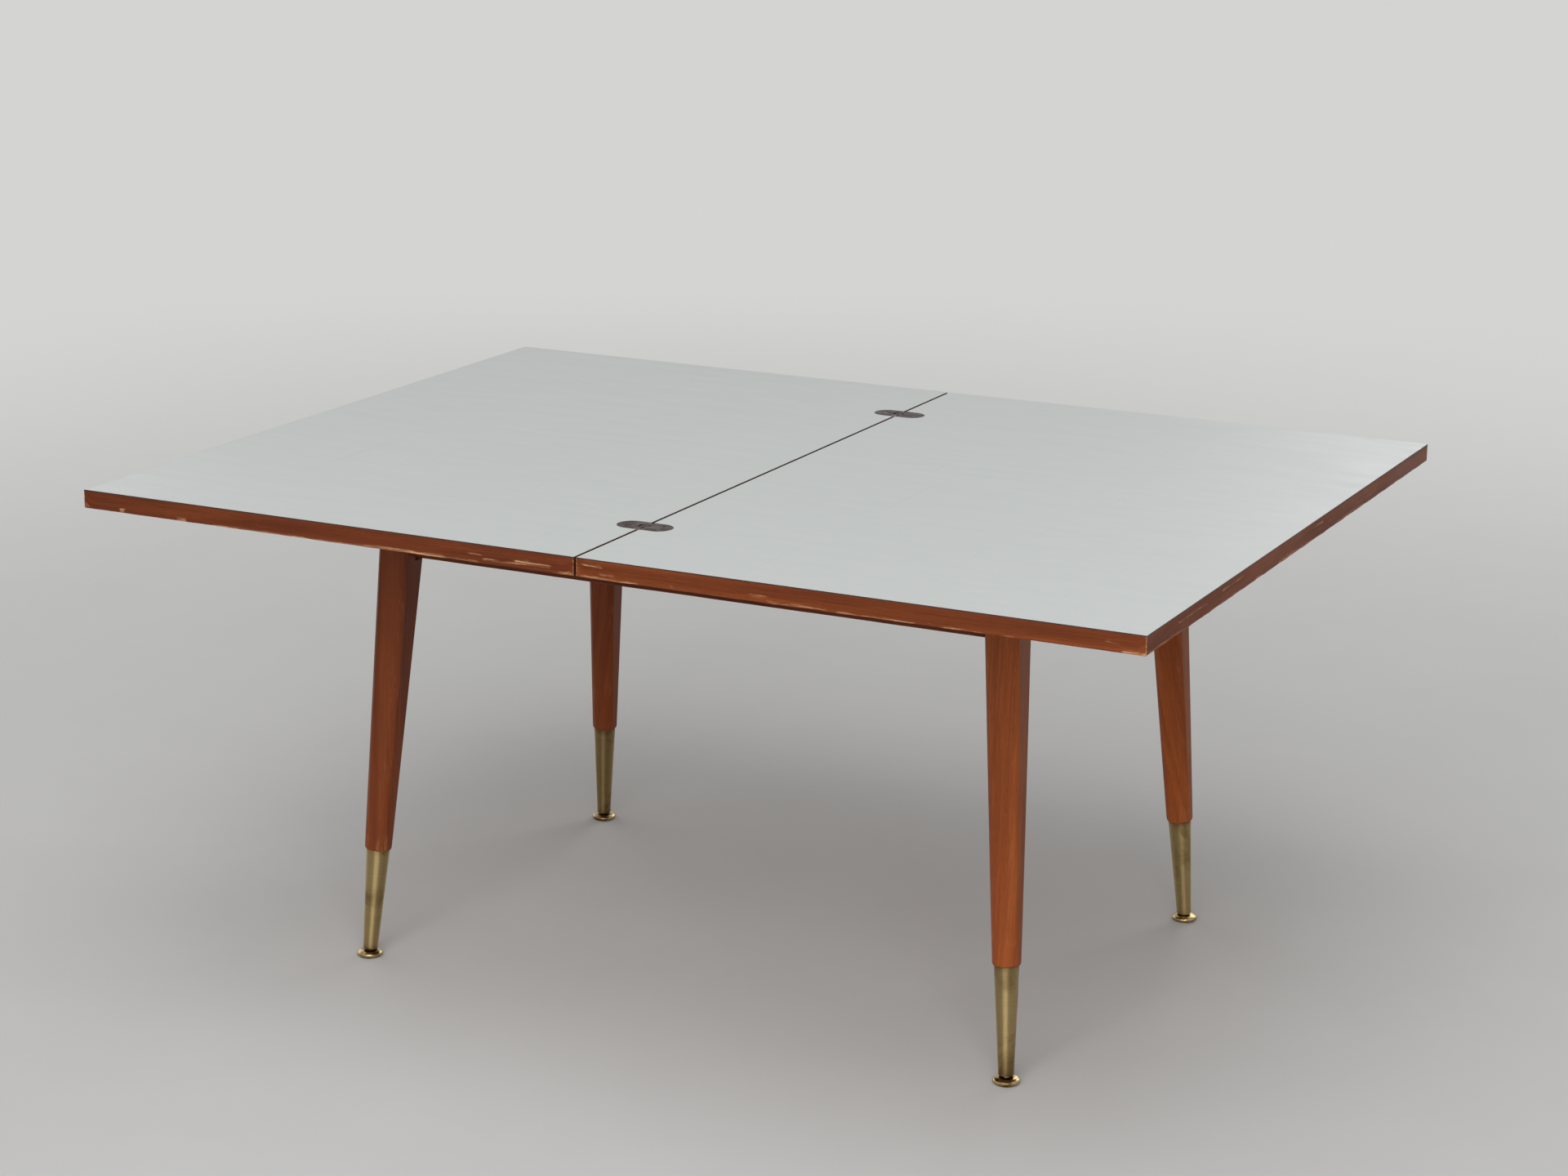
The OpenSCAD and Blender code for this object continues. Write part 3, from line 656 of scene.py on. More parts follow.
@dataclass(frozen=True)
class Laminate(Finish):
    """White plastic laminate, satin, with hair scratches and grime along its edges.

    Args:
        white: tone of the sheet.
        grime: tone of what gathers along the edges and in the scratches.
        half_length, half_width, seam: extent of the top and half the seam's gap, in metres.
        band: width of the grime along the edges, in metres.
        edge_dirt, hair_dirt: weight of the grime along the edges and in the scratches.
    """

    white: Colour
    grime: Colour
    half_length: float = TABLE.half_length * MM
    half_width: float = TABLE.half_width * MM
    seam: float = TABLE.seam * MM
    band: float = 0.003
    edge_dirt: float = 0.14
    hair_dirt: float = 0.05

    def draw(self, g: Graph) -> bpy.types.Material:
        """Even sheet with a faint cloud, edge grime, hair scratches and a fine pressed texture.

        Args:
            g: the empty material.

        Returns:
            The material.
        """
        flat = g.place(Grain.ALONG_X)
        split = g.node("SeparateXYZ", {0: flat})
        off_x, off_y = (g.math("ABSOLUTE", split.outputs[way]) for way in (0, 1))
        to_end = g.math("SUBTRACT", self.half_length, off_x)
        rim = g.math("MINIMUM", to_end, g.math("SUBTRACT", off_x, self.seam))
        rim = g.math("MINIMUM", rim, g.math("SUBTRACT", self.half_width, off_y))
        cloud = g.noise(flat, 3.1, 4.0, 0.55)
        smear = g.noise(g.place(Grain.ALONG_X, (9.0, 42.0, 9.0), 31.0), detail=4.0, rough=0.6)
        blot = g.noise(flat, 46.0, 3.0, 0.6)
        hair = g.noise(g.place(Grain.ALONG_X, (2.2, 760.0, 1.0), 17.0), detail=1.0)
        cross = g.noise(g.place(Grain.ALONG_X, (610.0, 3.1, 1.0), -28.0), detail=1.0)
        hairs = g.math("MAXIMUM", g.rise(hair, 0.735, 0.76), g.rise(cross, 0.742, 0.765))
        colour = g.mix(g.rise(cloud, 0.3, 0.75, 0.0, 0.2), self.white, tuple(0.9 * c for c in self.white))
        edge = g.math("MULTIPLY", g.rise(rim, 0.0, self.band, 1.0, 0.0), g.rise(blot, 0.3, 0.7, 0.4, 1.0))
        colour = g.mix(g.math("MULTIPLY", edge, self.edge_dirt), colour, self.grime)
        colour = g.mix(g.math("MULTIPLY", hairs, self.hair_dirt), colour, self.grime)
        rough = g.math("ADD", g.rise(smear, 0.3, 0.75, 0.38, 0.48), g.math("MULTIPLY", hairs, 0.12))
        peel = g.noise(flat, 520.0, 2.0, 0.55)
        height = g.math("SUBTRACT", peel, g.math("MULTIPLY", hairs, 0.7))
        return g.surface(
            Base_Color=colour,
            Roughness=rough,
            Normal=g.bump(height, 0.00002, 0.5),
            Specular_IOR_Level=0.32,
        )


@dataclass(frozen=True)
class Plain(Finish):
    """Moulded, pressed or fibrous stuff: chips, felt or plastic.

    Args:
        base, fleck: the two tones.
        fine: flecks a metre.
        depth: depth of the texture in metres.
        rough: roughness.
        sheen: weight of the fibres' sheen.
    """

    base: Colour
    fleck: Colour
    fine: float
    depth: float
    rough: float
    sheen: float = 0.0

    def draw(self, g: Graph) -> bpy.types.Material:
        """Two scales of flecks over a soft cloud.

        Args:
            g: the empty material.

        Returns:
            The material.
        """
        flat = g.place(Grain.ALONG_X)
        chips = g.cells(g.place(Grain.ALONG_X, (1.0, 0.4, 1.6), 33.0), self.fine)
        small = g.noise(flat, self.fine * 3, 3.0, 0.6)
        cloud = g.noise(flat, self.fine * 0.06, 3.0, 0.6)
        colour = g.mix(g.rise(chips, 0.1, 0.6), self.fleck, self.base)
        colour = g.mix(g.rise(small, 0.35, 0.75, 0.0, 0.5), colour, self.fleck)
        colour = g.mix(g.rise(cloud, 0.4, 0.8, 0.0, 0.3), colour, self.fleck)
        height = g.math("ADD", chips, small)
        return g.surface(
            Base_Color=colour,
            Roughness=g.rise(small, 0.2, 0.8, self.rough - 0.06, self.rough + 0.06),
            Normal=g.bump(height, self.depth, 0.7),
            Sheen_Weight=self.sheen,
        )


class Finishes:
    """The table's own finishes."""

    TOP = Laminate("white_laminate", srgb(196, 200, 198), srgb(118, 108, 88))
    TOP_EDGE = Plain("laminate_edge", srgb(54, 34, 28), srgb(34, 22, 19), 900.0, 0.00005, 0.55)
    LIPPING = Wood(
        "lipping_wood",
        light=srgb(136, 69, 32),
        dark=srgb(108, 51, 23),
        pore=srgb(72, 33, 18),
        bare=srgb(214, 166, 122),
        gloss=0.44,
        scuff=1.12,
    )
    # Painted shade: a darker copy of the lipping wood for the folding leaf on the left, which stands in less
    # light.
    LIPPING_DARK = replace(LIPPING, name="lipping_wood_dark", light=srgb(120, 59, 29), dark=srgb(94, 43, 21))
    LIPPING_Y = Wood(
        "lipping_wood_y",
        light=srgb(108, 54, 29),
        dark=srgb(86, 41, 22),
        pore=srgb(56, 27, 16),
        grain=Grain.ALONG_Y,
        gloss=0.48,
    )
    LEG = Wood(
        "leg_wood",
        light=srgb(158, 83, 39),
        dark=srgb(132, 65, 30),
        pore=srgb(92, 44, 22),
        bare=srgb(196, 128, 78),
        coat=0.02,
        # scuff along the creases is wear, and its lighter line also paints a highlight on the rounded
        # arrises
        scuff=0.42,
        # painted light and shade by height: lighter near the floor, darker under the table top
        fade=0.18,
    )
    # Painted shade: a darker copy of the leg wood for the two left legs, which stand in less light.
    LEG_DARK = replace(LEG, name="leg_wood_dark", light=srgb(124, 62, 31), dark=srgb(102, 48, 24))
    RAIL = Wood(
        "rail_wood",
        light=srgb(104, 50, 28),
        dark=srgb(82, 37, 21),
        pore=srgb(48, 22, 13),
        bare=srgb(140, 88, 58),
        gloss=0.48,
        scuff=0.3,
    )
    UNDERSIDE = Wood(
        "underside_veneer",
        light=srgb(164, 104, 66),
        dark=srgb(132, 76, 46),
        pore=srgb(84, 46, 28),
        grain=Grain.ALONG_X,
        gloss=0.62,
    )
    INNER_X = Wood(
        "inner_wood_x",
        light=srgb(208, 172, 128),
        dark=srgb(182, 140, 96),
        pore=srgb(140, 100, 64),
        grain=Grain.ALONG_X,
        gloss=0.68,
    )
    INNER_Y = replace(INNER_X, name="inner_wood_y", grain=Grain.ALONG_Y)
    INNER_Z = replace(
        INNER_X,
        name="inner_wood_z",
        light=srgb(200, 160, 114),
        dark=srgb(172, 128, 84),
        pore=srgb(132, 92, 58),
        grain=Grain.ALONG_Z,
    )
    BOARD = Plain("core_board", srgb(186, 156, 116), srgb(128, 96, 62), 260.0, 0.0003, 0.85)
    BRONZE = Metal(
        "hinge_bronze",
        clean=srgb(84, 71, 67),
        tarnish=srgb(58, 47, 45),
        stain=srgb(80, 40, 28),
        rough=0.38,
        patch=75.0,
        old=0.6,
        metallic=0.9,
    )
    PIN = Metal(
        "pin_steel",
        clean=srgb(150, 146, 140),
        tarnish=srgb(104, 98, 92),
        stain=srgb(70, 46, 32),
        grain=Grain.ALONG_Y,
        rough=0.3,
        patch=90.0,
        old=0.4,
    )
    ZINC = Metal(
        "swivel_steel",
        clean=srgb(178, 178, 176),
        tarnish=srgb(132, 132, 130),
        stain=srgb(98, 72, 52),
        rough=0.36,
        patch=30.0,
        old=0.4,
    )
    SCREW = Metal(
        "screw_steel",
        clean=srgb(170, 162, 140),
        tarnish=srgb(122, 112, 92),
        stain=srgb(80, 52, 34),
        rough=0.36,
        patch=160.0,
    )
    FERRULE = Metal(
        "ferrule_brass",
        clean=srgb(170, 148, 103),
        tarnish=srgb(138, 116, 77),
        stain=srgb(86, 64, 42),
        grain=Grain.ROUND_PIECE,
        rough=0.42,
        patch=16.0,
        old=0.3,
        brush=0.00001,
        metallic=0.97,
        turned=0.9,
    )
    # Painted shade: a darker copy of the ferrule brass for the back left ferrule, which stands in the shade.
    FERRULE_DARK = replace(
        FERRULE,
        name="ferrule_brass_dark",
        clean=srgb(142, 120, 82),
        tarnish=srgb(108, 88, 58),
        stain=srgb(72, 54, 36),
    )
    # The glide's near-black stain also darkens its worn low rim, which stands in for the contact shadow:
    # painted shade.
    GLIDE = Metal(
        "glide_brass",
        clean=srgb(190, 168, 122),
        tarnish=srgb(122, 98, 64),
        stain=srgb(44, 32, 24),
        rough=0.17,
    )
    NYLON = Plain("bush_nylon", srgb(226, 222, 206), srgb(196, 190, 168), 700.0, 0.00005, 0.45)
    FELT = Plain("pad_felt", srgb(84, 94, 76), srgb(54, 62, 48), 1500.0, 0.0004, 0.95, 0.5)


# Pieces


class Workshop:
    """Makes pieces, dresses solids and keeps the count."""

    UV_STEP = np.array([0.731, 0.417])  # shift of the map from piece to piece, so that none repeats
    UPRIGHT = 0.6  # faces whose normal rises less than this are upright
    FACE_WEIGHT = 60  # how much the large faces' normals count at an edge
    SAME_PLACE = 1e-7  # points nearer to each other than this become one, in metres
    NO_LENGTH = 1e-8  # edges shorter than this are dropped, in metres

    def __init__(self) -> None:
        """Starts with no piece made."""
        self.made = 0

    def piece(
        self,
        name: str,
        shells: Sequence[Shell],
        finish: Finish,
        body: str,
        slot: str,
        replaced: str,
        edge: Optional[Finish] = None,
        bevel: float = 0.0,
    ) -> None:
        """Makes one piece from its shells, in place, and hangs it on its body.

        Args:
            name: name of the piece.
            shells: its closed surfaces, in millimetres.
            finish: finish of its faces.
            body: body of the solids that it moves with.
            slot: the record's material slot, not used.
            replaced: solid that it stands for.
            edge: finish of the upright faces, where they differ.
            bevel: width of a bevel on its sharp edges, in millimetres.
        """
        self.made += 1
        mesh = self.mesh(name, shells)
        mesh.materials.append(finish.material())
        if edge is not None:
            mesh.materials.append(edge.material())
            normals = np.empty(len(mesh.polygons) * 3, np.float32)
            mesh.polygons.foreach_get("normal", normals)
            upright = np.abs(normals.reshape(-1, 3)[:, 2]) < self.UPRIGHT
            mesh.polygons.foreach_set("material_index", upright.astype(np.int32))
        mesh.shade_smooth()
        mesh.set_sharp_from_angle(angle=SHARP)
        made = bpy.data.objects.new(name, mesh)
        bpy.context.scene.collection.objects.link(made)
        if bevel > 0:
            cut = made.modifiers.new("eased_edges", "BEVEL")
            cut.width = bevel * MM
            cut.segments = 2
            cut.limit_method = "ANGLE"
            cut.angle_limit = SHARP
        weigh = made.modifiers.new("flat_faces", "WEIGHTED_NORMAL")
        weigh.keep_sharp = True
        weigh.weight = self.FACE_WEIGHT
        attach(made, body)
        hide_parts(replaced)
        LOG.info("piece %s: %d points on body %s", name, len(mesh.vertices), body)

    def mesh(self, name: str, shells: Sequence[Shell]) -> bpy.types.Mesh:
        """Joins shells into one mesh in metres, with its UV map and its wear.

        Args:
            name: name of the mesh.
            shells: the surfaces, in millimetres.

        Returns:
            The closed mesh.
        """
        starts = np.cumsum([0] + [len(s.points) for s in shells])
        faces = [[n + start for n in face] for s, start in zip(shells, starts) for face in s.faces]
        points = np.concatenate([s.points for s in shells]) * MM
        mesh = bpy.data.meshes.new(name)
        mesh.from_pydata(points.tolist(), [], faces)
        uv = np.concatenate([s.uv for s in shells]) + self.UV_STEP * self.made
        layer = mesh.uv_layers.new(name="UVMap")
        layer.uv.foreach_set("vector", uv.ravel().astype(np.float32))
        worn = mesh.attributes.new("worn", "FLOAT", "POINT")
        worn.data.foreach_set("value", np.concatenate([s.worn for s in shells]).astype(np.float32))
        self.close(mesh)
        return mesh

    def close(self, mesh: bpy.types.Mesh) -> None:
        """Merges doubled points, drops faces without area and turns all faces outwards.

        Args:
            mesh: the mesh to mend, in metres.
        """
        work = bmesh.new()
        work.from_mesh(mesh)
        bmesh.ops.remove_doubles(work, verts=work.verts, dist=self.SAME_PLACE)
        bmesh.ops.dissolve_degenerate(work, edges=work.edges, dist=self.NO_LENGTH)
        bmesh.ops.recalc_face_normals(work, faces=work.faces)
        work.to_mesh(mesh)
        work.free()
        mesh.update()

    @staticmethod
    def dress(nodes: Sequence[str], finish: Finish) -> None:
        """Gives solids that keep their shape their finish.

        Args:
            nodes: names of the solids.
            finish: their finish.
        """
        for node in nodes:
            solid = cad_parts[node]
            if not solid.data.materials:
                solid.data.materials.append(None)
            for holder in solid.material_slots:
                holder.material = finish.material()
            LOG.info("solid %s: %s", node, finish.name)


class Choice(Enum):
    """Options whose names are also words in the solids' names."""

    @property
    def label(self) -> str:
        """The option's word."""
        return self.name.lower()


class Side(Choice):
    """The two leaves: the one that stays on the pivot and the one that folds."""

    FIXED = 1
    FOLDING = -1

    @property
    def body(self) -> str:
        """Body that the leaf belongs to."""
        return "turning_leaf" if self is Side.FIXED else "folding_leaf"

    def flip(self, points: np.ndarray) -> np.ndarray:
        """Points made for the fixed leaf, brought to this one."""
        return points * np.array([self.value, 1, 1])


class Edge(Choice):
    """The outer lippings of a leaf, with the turn in degrees that brings each to its side."""

    FRONT = 0
    BACK = 180
    OUTER = 90


@dataclass(frozen=True)
class Rub:
    """Rubbed place on a lipping's outer face.

    Args:
        start, end: from and to, along the lipping.
        level: level of its middle above the lower edge.
        height: half its height.
        strength: how worn it is, from 0 to 1.
    """

    start: float
    end: float
    level: float
    height: float
    strength: float


RUBS = {
    Side.FOLDING: (
        Rub(26, 68, 7.0, 2.6, 0.66),
        Rub(62, 106, 4.8, 1.4, 0.56),
        Rub(104, 122, 9.5, 1.2, 0.5),
        Rub(0, 18, 2.4, 1.6, 0.6),
        Rub(110, 160, 1.5, 1.3, 0.5),
        Rub(150, 245, 1.6, 2.2, 0.64),
        Rub(235, 440, 0.8, 1.4, 0.46),
        Rub(466, 480, 1.6, 2.6, 0.62),
        Rub(545, 553, 3.0, 3.0, 0.62),
        Rub(592, 600, 3.0, 4.0, 0.5),
    ),
    Side.FIXED: (
        Rub(4, 30, 13.5, 1.3, 0.58),
        Rub(26, 44, 5.6, 1.6, 0.5),
        Rub(4, 70, 1.6, 1.6, 0.56),
        Rub(50, 62, 9.5, 1.0, 0.42),
        Rub(102, 128, 10.0, 1.2, 0.42),
        Rub(104, 110, 4.0, 2.0, 0.5),
        Rub(190, 213, 6.5, 1.4, 0.54),
        Rub(210, 275, 1.8, 1.4, 0.56),
        Rub(285, 368, 1.0, 1.2, 0.54),
        Rub(378, 384, 3.0, 1.6, 0.5),
        Rub(395, 470, 0.8, 1.0, 0.36),
        Rub(558, 574, 9.5, 1.4, 0.46),
        Rub(574, 600, 1.6, 2.2, 0.66),
    ),
}


@dataclass
class Leaf:
    """One leaf of the top: laminate, core board, underside veneer and four mitred lippings.

    Args:
        side: which leaf.
        half_length, half_width, top, thickness, seam, hinge_y: the shared sizes.
        laminate: thickness of the sheet.
        lip_w: width of a lipping.
        lip_ease, small_eases: easing of its lower outer arris and of its three others.
        seam_ease, arris: easing of the sheet's upper edge at the seam and elsewhere.
        pocket_r, pocket_x: radius of a hinge pocket and distance of its centre from the seam's middle.
        station: step from point to point along a lipping.
        rub_depth, unsunk: how deep a lipping sinks for each 1 of wear, beyond the wear that leaves it flat.
        face_levels: levels of the rows of points on a lipping's outer face.
    """

    side: Side
    half_length: float = TABLE.half_length
    half_width: float = TABLE.half_width
    top: float = TABLE.top
    thickness: float = TABLE.leaf_t
    seam: float = TABLE.seam
    hinge_y: float = TABLE.hinge_y
    laminate: float = 1.2
    lip_w: float = 10.0
    lip_ease: float = 1.0
    small_eases: tuple[float, float, float] = (0.3, 0.15, 0.25)
    seam_ease: float = 0.5
    arris: float = 0.15
    pocket_r: float = 16.1
    pocket_x: float = 15.0
    station: float = 3.0
    rub_depth: float = 0.22
    unsunk: float = 0.4
    face_levels: tuple[float, ...] = (16.0, 13.5, 11.0, 9.0, 7.0, 5.4, 4.0, 2.9)

    @property
    def bottom(self) -> float:
        """Level of the leaf's underside."""
        return self.top - self.thickness

    @property
    def lip_h(self) -> float:
        """Height of a lipping."""
        return self.thickness - self.laminate

    def outline(self) -> np.ndarray:
        """Plan of the laminate on the fixed side, with the two hinge pockets in the seam's edge.

        Returns:
            Corners, anticlockwise.
        """
        corners = [
            [[self.seam, -self.half_width], [self.half_length, -self.half_width]],
            [[self.half_length, self.half_width], [self.seam, self.half_width]],
        ]
        for y in (self.hinge_y, -self.hinge_y):
            r = self.pocket_r
            pocket = arc((self.pocket_x, y), r, 90, -90, 24)
            corners.append([[self.seam, y + r], *pocket.tolist(), [self.seam, y - r]])
        return np.array([corner for run in corners for corner in run], float)

    def sheet(self) -> Shell:
        """Laminate: a plate with a small arris, eased more along the seam.

        Formula: plate() of the outline in five rings; the points on the seam's edge move inwards by
        the rest of the seam's easing as the rings rise.

        Returns:
            The shell.
        """
        r = self.arris
        steps = [
            (0.0, self.top - self.laminate),
            (0.0, self.top - self.seam_ease),
            (0.0, self.top - r),
            (r * 0.3, self.top - r * 0.3),
            (r, self.top),
        ]
        rings = plate(self.outline(), steps)
        on_seam = np.abs(self.outline()[:, 0] - self.seam) < 1e-6
        extra = np.array([0.0, 0.0, 0.68, 0.9, 1.0]) * (self.seam_ease - r)
        rings[:, on_seam, 0] += extra[:, None]
        return loft(rings).placed(self.side.flip)

    def rubs(self, edge: Edge, length: float) -> np.ndarray:
        """Rubbed places of a lipping: the seen ones on the front, scattered ones on the others.

        Formula: one scattered place for every 34 mm, most of them short, seven in ten of them along
        the lower edge and the others anywhere on the face.

        Args:
            edge: which lipping.
            length: length of the lipping.

        Returns:
            One row a place: from, to, level, height and strength.
        """
        if edge is Edge.FRONT:
            rows = [[r.start, r.end, r.level, r.height, r.strength] for r in RUBS[self.side]]
            return np.array(rows, float)
        apart = 34.0
        shortest, longer = 5.0, 90.0
        along_edge = 0.7
        chance = np.random.default_rng(sum(ord(letter) for letter in self.side.label + edge.label))
        count = int(length / apart)
        start = chance.uniform(0, length, count)
        size = chance.uniform(0, 1, count) ** 2 * longer + shortest
        low = chance.uniform(0, 1, count) < along_edge
        level = np.where(low, chance.uniform(0.5, 2.4, count), chance.uniform(3, 15, count))
        height = np.where(low, 1.6, 1.2) * chance.uniform(0.7, 1.3, count)
        return np.column_stack([start, start + size, level, height, chance.uniform(0.34, 0.6, count)])

    def wear(self, edge: Edge, t: np.ndarray, up: np.ndarray, length: float) -> np.ndarray:
        """How worn a lipping's outer face is.

        Formula: the greatest over the rubbed places of strength times a ramp in and out along the
        lipping times a bell across it, or a thin line at each end's arris where that is greater,
        and an uneven line along the lower arris.

        Args:
            edge: which lipping.
            t: places along it, in millimetres, one row each.
            up: levels above its lower edge, the same shape.
            length: its length.

        Returns:
            Wear from 0 to 1 at each point.
        """
        ramp = 5.0
        end_line = 1.1
        low_line = 1.3
        start, end, level, height, strength = self.rubs(edge, length).T
        inward = np.clip((t[..., None] - start) / ramp + 0.5, 0, 1)
        outward = np.clip((end - t[..., None]) / ramp + 0.5, 0, 1)
        across = np.exp(-(((up[..., None] - level) / height) ** 2))
        marks = (strength * (inward * outward) * across).max(axis=-1)
        ends = 0.6 * (np.exp(-((t / end_line) ** 2)) + np.exp(-(((length - t) / end_line) ** 2)))
        uneven = ripple(t, len(edge.label) + self.side.value + 7, 120.0)
        line = 0.3 * np.exp(-((up / low_line) ** 2)) * uneven
        return np.clip(np.maximum(marks, ends) + line, 0, 1)

    def lipping(self, edge: Edge) -> Shell:
        """One outer lipping: an eased strip with mitred ends.

        Formula: S(t, q) is point q of the strip's eased section at t along it. At the ends t is held
        between q's distance from the outer face and the length less that distance, which cuts the
        mitres. The outer face holds rows of points at a few levels, which sink a little where it is
        rubbed, and the lower outer arris swells and shrinks along the strip.

        Args:
            edge: which lipping.

        Returns:
            The shell.
        """
        length = 2 * self.half_width if edge is Edge.OUTER else self.half_length - self.seam
        near_end = np.array([0.0, 0.7, 1.6, 3.0, 5.5])
        middle = np.linspace(self.lip_w, length - self.lip_w, int(length / self.station))
        t = np.concatenate([near_end, middle, (length - near_end)[::-1]])
        one = np.ones(len(t))
        ease = self.lip_ease * (0.8 + 0.9 * ripple(t, 5 + len(edge.label), 60.0))
        section = eased_box(one * self.lip_w, one * self.lip_h, (ease, *self.small_eases))
        face = np.zeros((len(t), len(self.face_levels), 2))
        face[..., 1] = self.face_levels
        section = np.concatenate([section, face], axis=1)
        inward, up = section[..., 0], section[..., 1]
        along = np.clip(t[:, None], inward, length - inward)
        outer_face = np.where(inward < self.lip_w * 0.5, 1.0, 0.1)
        worn = self.wear(edge, np.broadcast_to(t[:, None], up.shape), up, length) * outer_face
        sunk = self.rub_depth * np.clip(worn - self.unsunk, 0, 1)
        dent = np.where(inward < 1e-6, sunk, 0.0)
        points = np.stack([along, inward + dent, up], axis=-1)
        corner = {
            Edge.FRONT: (self.seam, -self.half_width, self.bottom),
            Edge.BACK: (self.half_length, self.half_width, self.bottom),
            Edge.OUTER: (self.half_length, -self.half_width, self.bottom),
        }[edge]
        return loft(points, worn).laid(corner, edge.value).placed(self.side.flip)

    def build(self, shop: Workshop) -> None:
        """Makes the sheet and the lippings and dresses the core and the veneer.

        Args:
            shop: the workshop that makes them.
        """
        word, body = self.side.label, self.side.body
        # The folding leaf gets the darker copy of the lipping wood: painted shade.
        wood = Finishes.LIPPING_DARK if self.side is Side.FOLDING else Finishes.LIPPING
        name, replaced = f"{word}_top_sheet", f"{word}_laminate"
        sheet = [self.sheet()]
        shop.piece(name, sheet, Finishes.TOP, body, "laminate", replaced, edge=Finishes.TOP_EDGE)
        for edge in Edge:
            name, replaced = f"{word}_strip_{edge.label}", f"{word}_lipping_{edge.label}"
            shop.piece(name, [self.lipping(edge)], wood, body, "lipping_wood", replaced)
        shop.dress([f"{word}_core"], Finishes.BOARD)
        shop.dress([f"{word}_veneer"], Finishes.UNDERSIDE)
        shop.dress([f"{word}_lipping_seam"], Finishes.LIPPING_Y)


@dataclass
class Screw:
    """Slotted screw: countersunk or round-headed, head at the origin, running down.

    Args:
        head_d, head_h: diameter and height of the head.
        shank_d, length: diameter of the shank and length below the head's face.
        crown: height of a round head's crown, 0 for a countersunk head.
        sink: how far a countersunk head lies below the wood.
        slot_w, slot_deep: width and depth of the slot.
        pitch: pitch of the thread.
    """

    head_d: float
    shank_d: float
    length: float
    head_h: float
    crown: float = 0.0
    sink: float = 0.05
    slot_w: float = 0.9
    slot_deep: float = 0.8
    pitch: float = 1.6

    def head(self, turn: float) -> Shell:
        """Head with its slot.

        Formula: columns run across the disc and rows along the slot, so that a column's ends lie on
        the rim; the level is the crown's paraboloid, less the slot's depth between the two columns
        at the slot's edges, which are doubled. The underside is the same disc, smaller on a
        countersunk head.

        Args:
            turn: direction of the slot, in degrees.

        Returns:
            The shell.
        """
        half = self.slot_w / self.head_d
        spread = np.sin(np.linspace(-math.pi / 2, -math.asin(half), 9))
        x = np.concatenate([spread, [-half], [half], -spread[::-1]])
        in_slot = np.zeros(len(x))
        in_slot[len(spread) : len(spread) + 2] = 1.0
        y = np.linspace(-1, 1, 15) * np.sqrt(np.clip(1 - x**2, 0, 1))[:, None]
        far = x[:, None] ** 2 + y**2
        sunk = self.crown == 0
        edge = -self.sink if sunk else self.head_h - self.crown
        level = edge + self.crown * (1 - far) - self.slot_deep * in_slot[:, None]
        low = -self.head_h if sunk else 0.0
        small = self.shank_d / self.head_d if sunk else 1.0
        r = self.head_d / 2
        x = np.broadcast_to(x[:, None], y.shape)
        upper = np.stack([x * r, y * r, level], axis=-1)
        lower = np.stack([x * r * small, y * r * small, np.full(y.shape, low)], axis=-1)[:, ::-1]
        rings = np.concatenate([upper, lower], axis=1)
        cos, sin = math.cos(math.radians(turn)), math.sin(math.radians(turn))
        spin = np.array([[cos, sin, 0], [-sin, cos, 0], [0, 0, 1]])
        return loft(rings @ spin)

    def shank(self) -> Shell:
        """Shank with its thread.

        Formula: a turned piece whose radius swings with the sine of (level over pitch less angle),
        is plain for the first three tenths, and falls to a point at the tip.

        Returns:
            The shell.
        """
        sides = 20
        rings_a_mm = 3.2
        depth = 0.12
        plain = 0.3
        blunt = 0.02
        start = -self.head_h * 0.8 if self.crown == 0 else 0.3
        z = np.linspace(start, -self.length, int(self.length * rings_a_mm))
        r = self.shank_d / 2
        taper = np.clip((z + self.length) / (r * 1.6), blunt, 1)[:, None]
        swing = np.sin(2 * math.pi * z[:, None] / self.pitch - round_angles(sides))
        thread = np.where(z[:, None] > start - self.length * plain, 1.0, 1 - depth + depth * swing)
        return loft(round_rings(r * taper * thread, z, sides))

    def at(self, place: Sequence[float], way: Sequence[float], turn: float) -> list[Shell]:
        """Head and shank with the head at a place, the head's face looking along a way.

        Args:
            place: centre of the head's face, or of its seat if it is round-headed, in millimetres.
            way: direction in which the head looks.
            turn: direction of the slot, in degrees.

        Returns:
            The two shells.
        """
        return [shell.aimed(place, way) for shell in (self.head(turn), self.shank())]


@dataclass
class Hinges:
    """Two flush hinges: plates, links and pins as the solids have them, and slotted screws.

    Args:
        top, hinge_y: the shared sizes.
        screw_x, screw_pitch: distance of the screws from the seam's middle and from each other.
        slots_fixed, slots_folding: directions of the screws' slots on each leaf, in degrees.
        screw: the screw.
    """

    top: float = TABLE.top
    hinge_y: float = TABLE.hinge_y
    screw_x: float = 17.0
    screw_pitch: float = 17.0
    slots_fixed: tuple[float, ...] = (12, 64, 141, 97)
    slots_folding: tuple[float, ...] = (33, 158, 80, 115)
    screw: Screw = field(default_factory=lambda: Screw(6.4, 3.2, 13.0, 1.8))

    def build(self, shop: Workshop) -> None:
        """Dresses the solids and drives the screws.

        Args:
            shop: the workshop that makes them.
        """
        for end in ("front", "back"):
            parts = (f"plate_{end}_fixed", f"plate_{end}_folding", f"link_{end}")
            shop.dress([f"hinge_{part}" for part in parts], Finishes.BRONZE)
        shop.dress(["hinge_pins_fixed", "hinge_pins_folding"], Finishes.PIN)
        for side in Side:
            shells = []
            turns = iter(self.slots_fixed if side is Side.FIXED else self.slots_folding)
            for end in (-1, 1):
                for row in (-1, 1):
                    y = end * self.hinge_y + row * self.screw_pitch / 2
                    place = (side.value * self.screw_x, y, self.top)
                    shells += self.screw.at(place, (0, 0, 1), next(turns))
            name, replaced = f"hinge_slotted_screws_{side.label}", f"hinge_screws_{side.label}"
            shop.piece(name, shells, Finishes.BRONZE, side.body, "hinge_screw_bronze", replaced)


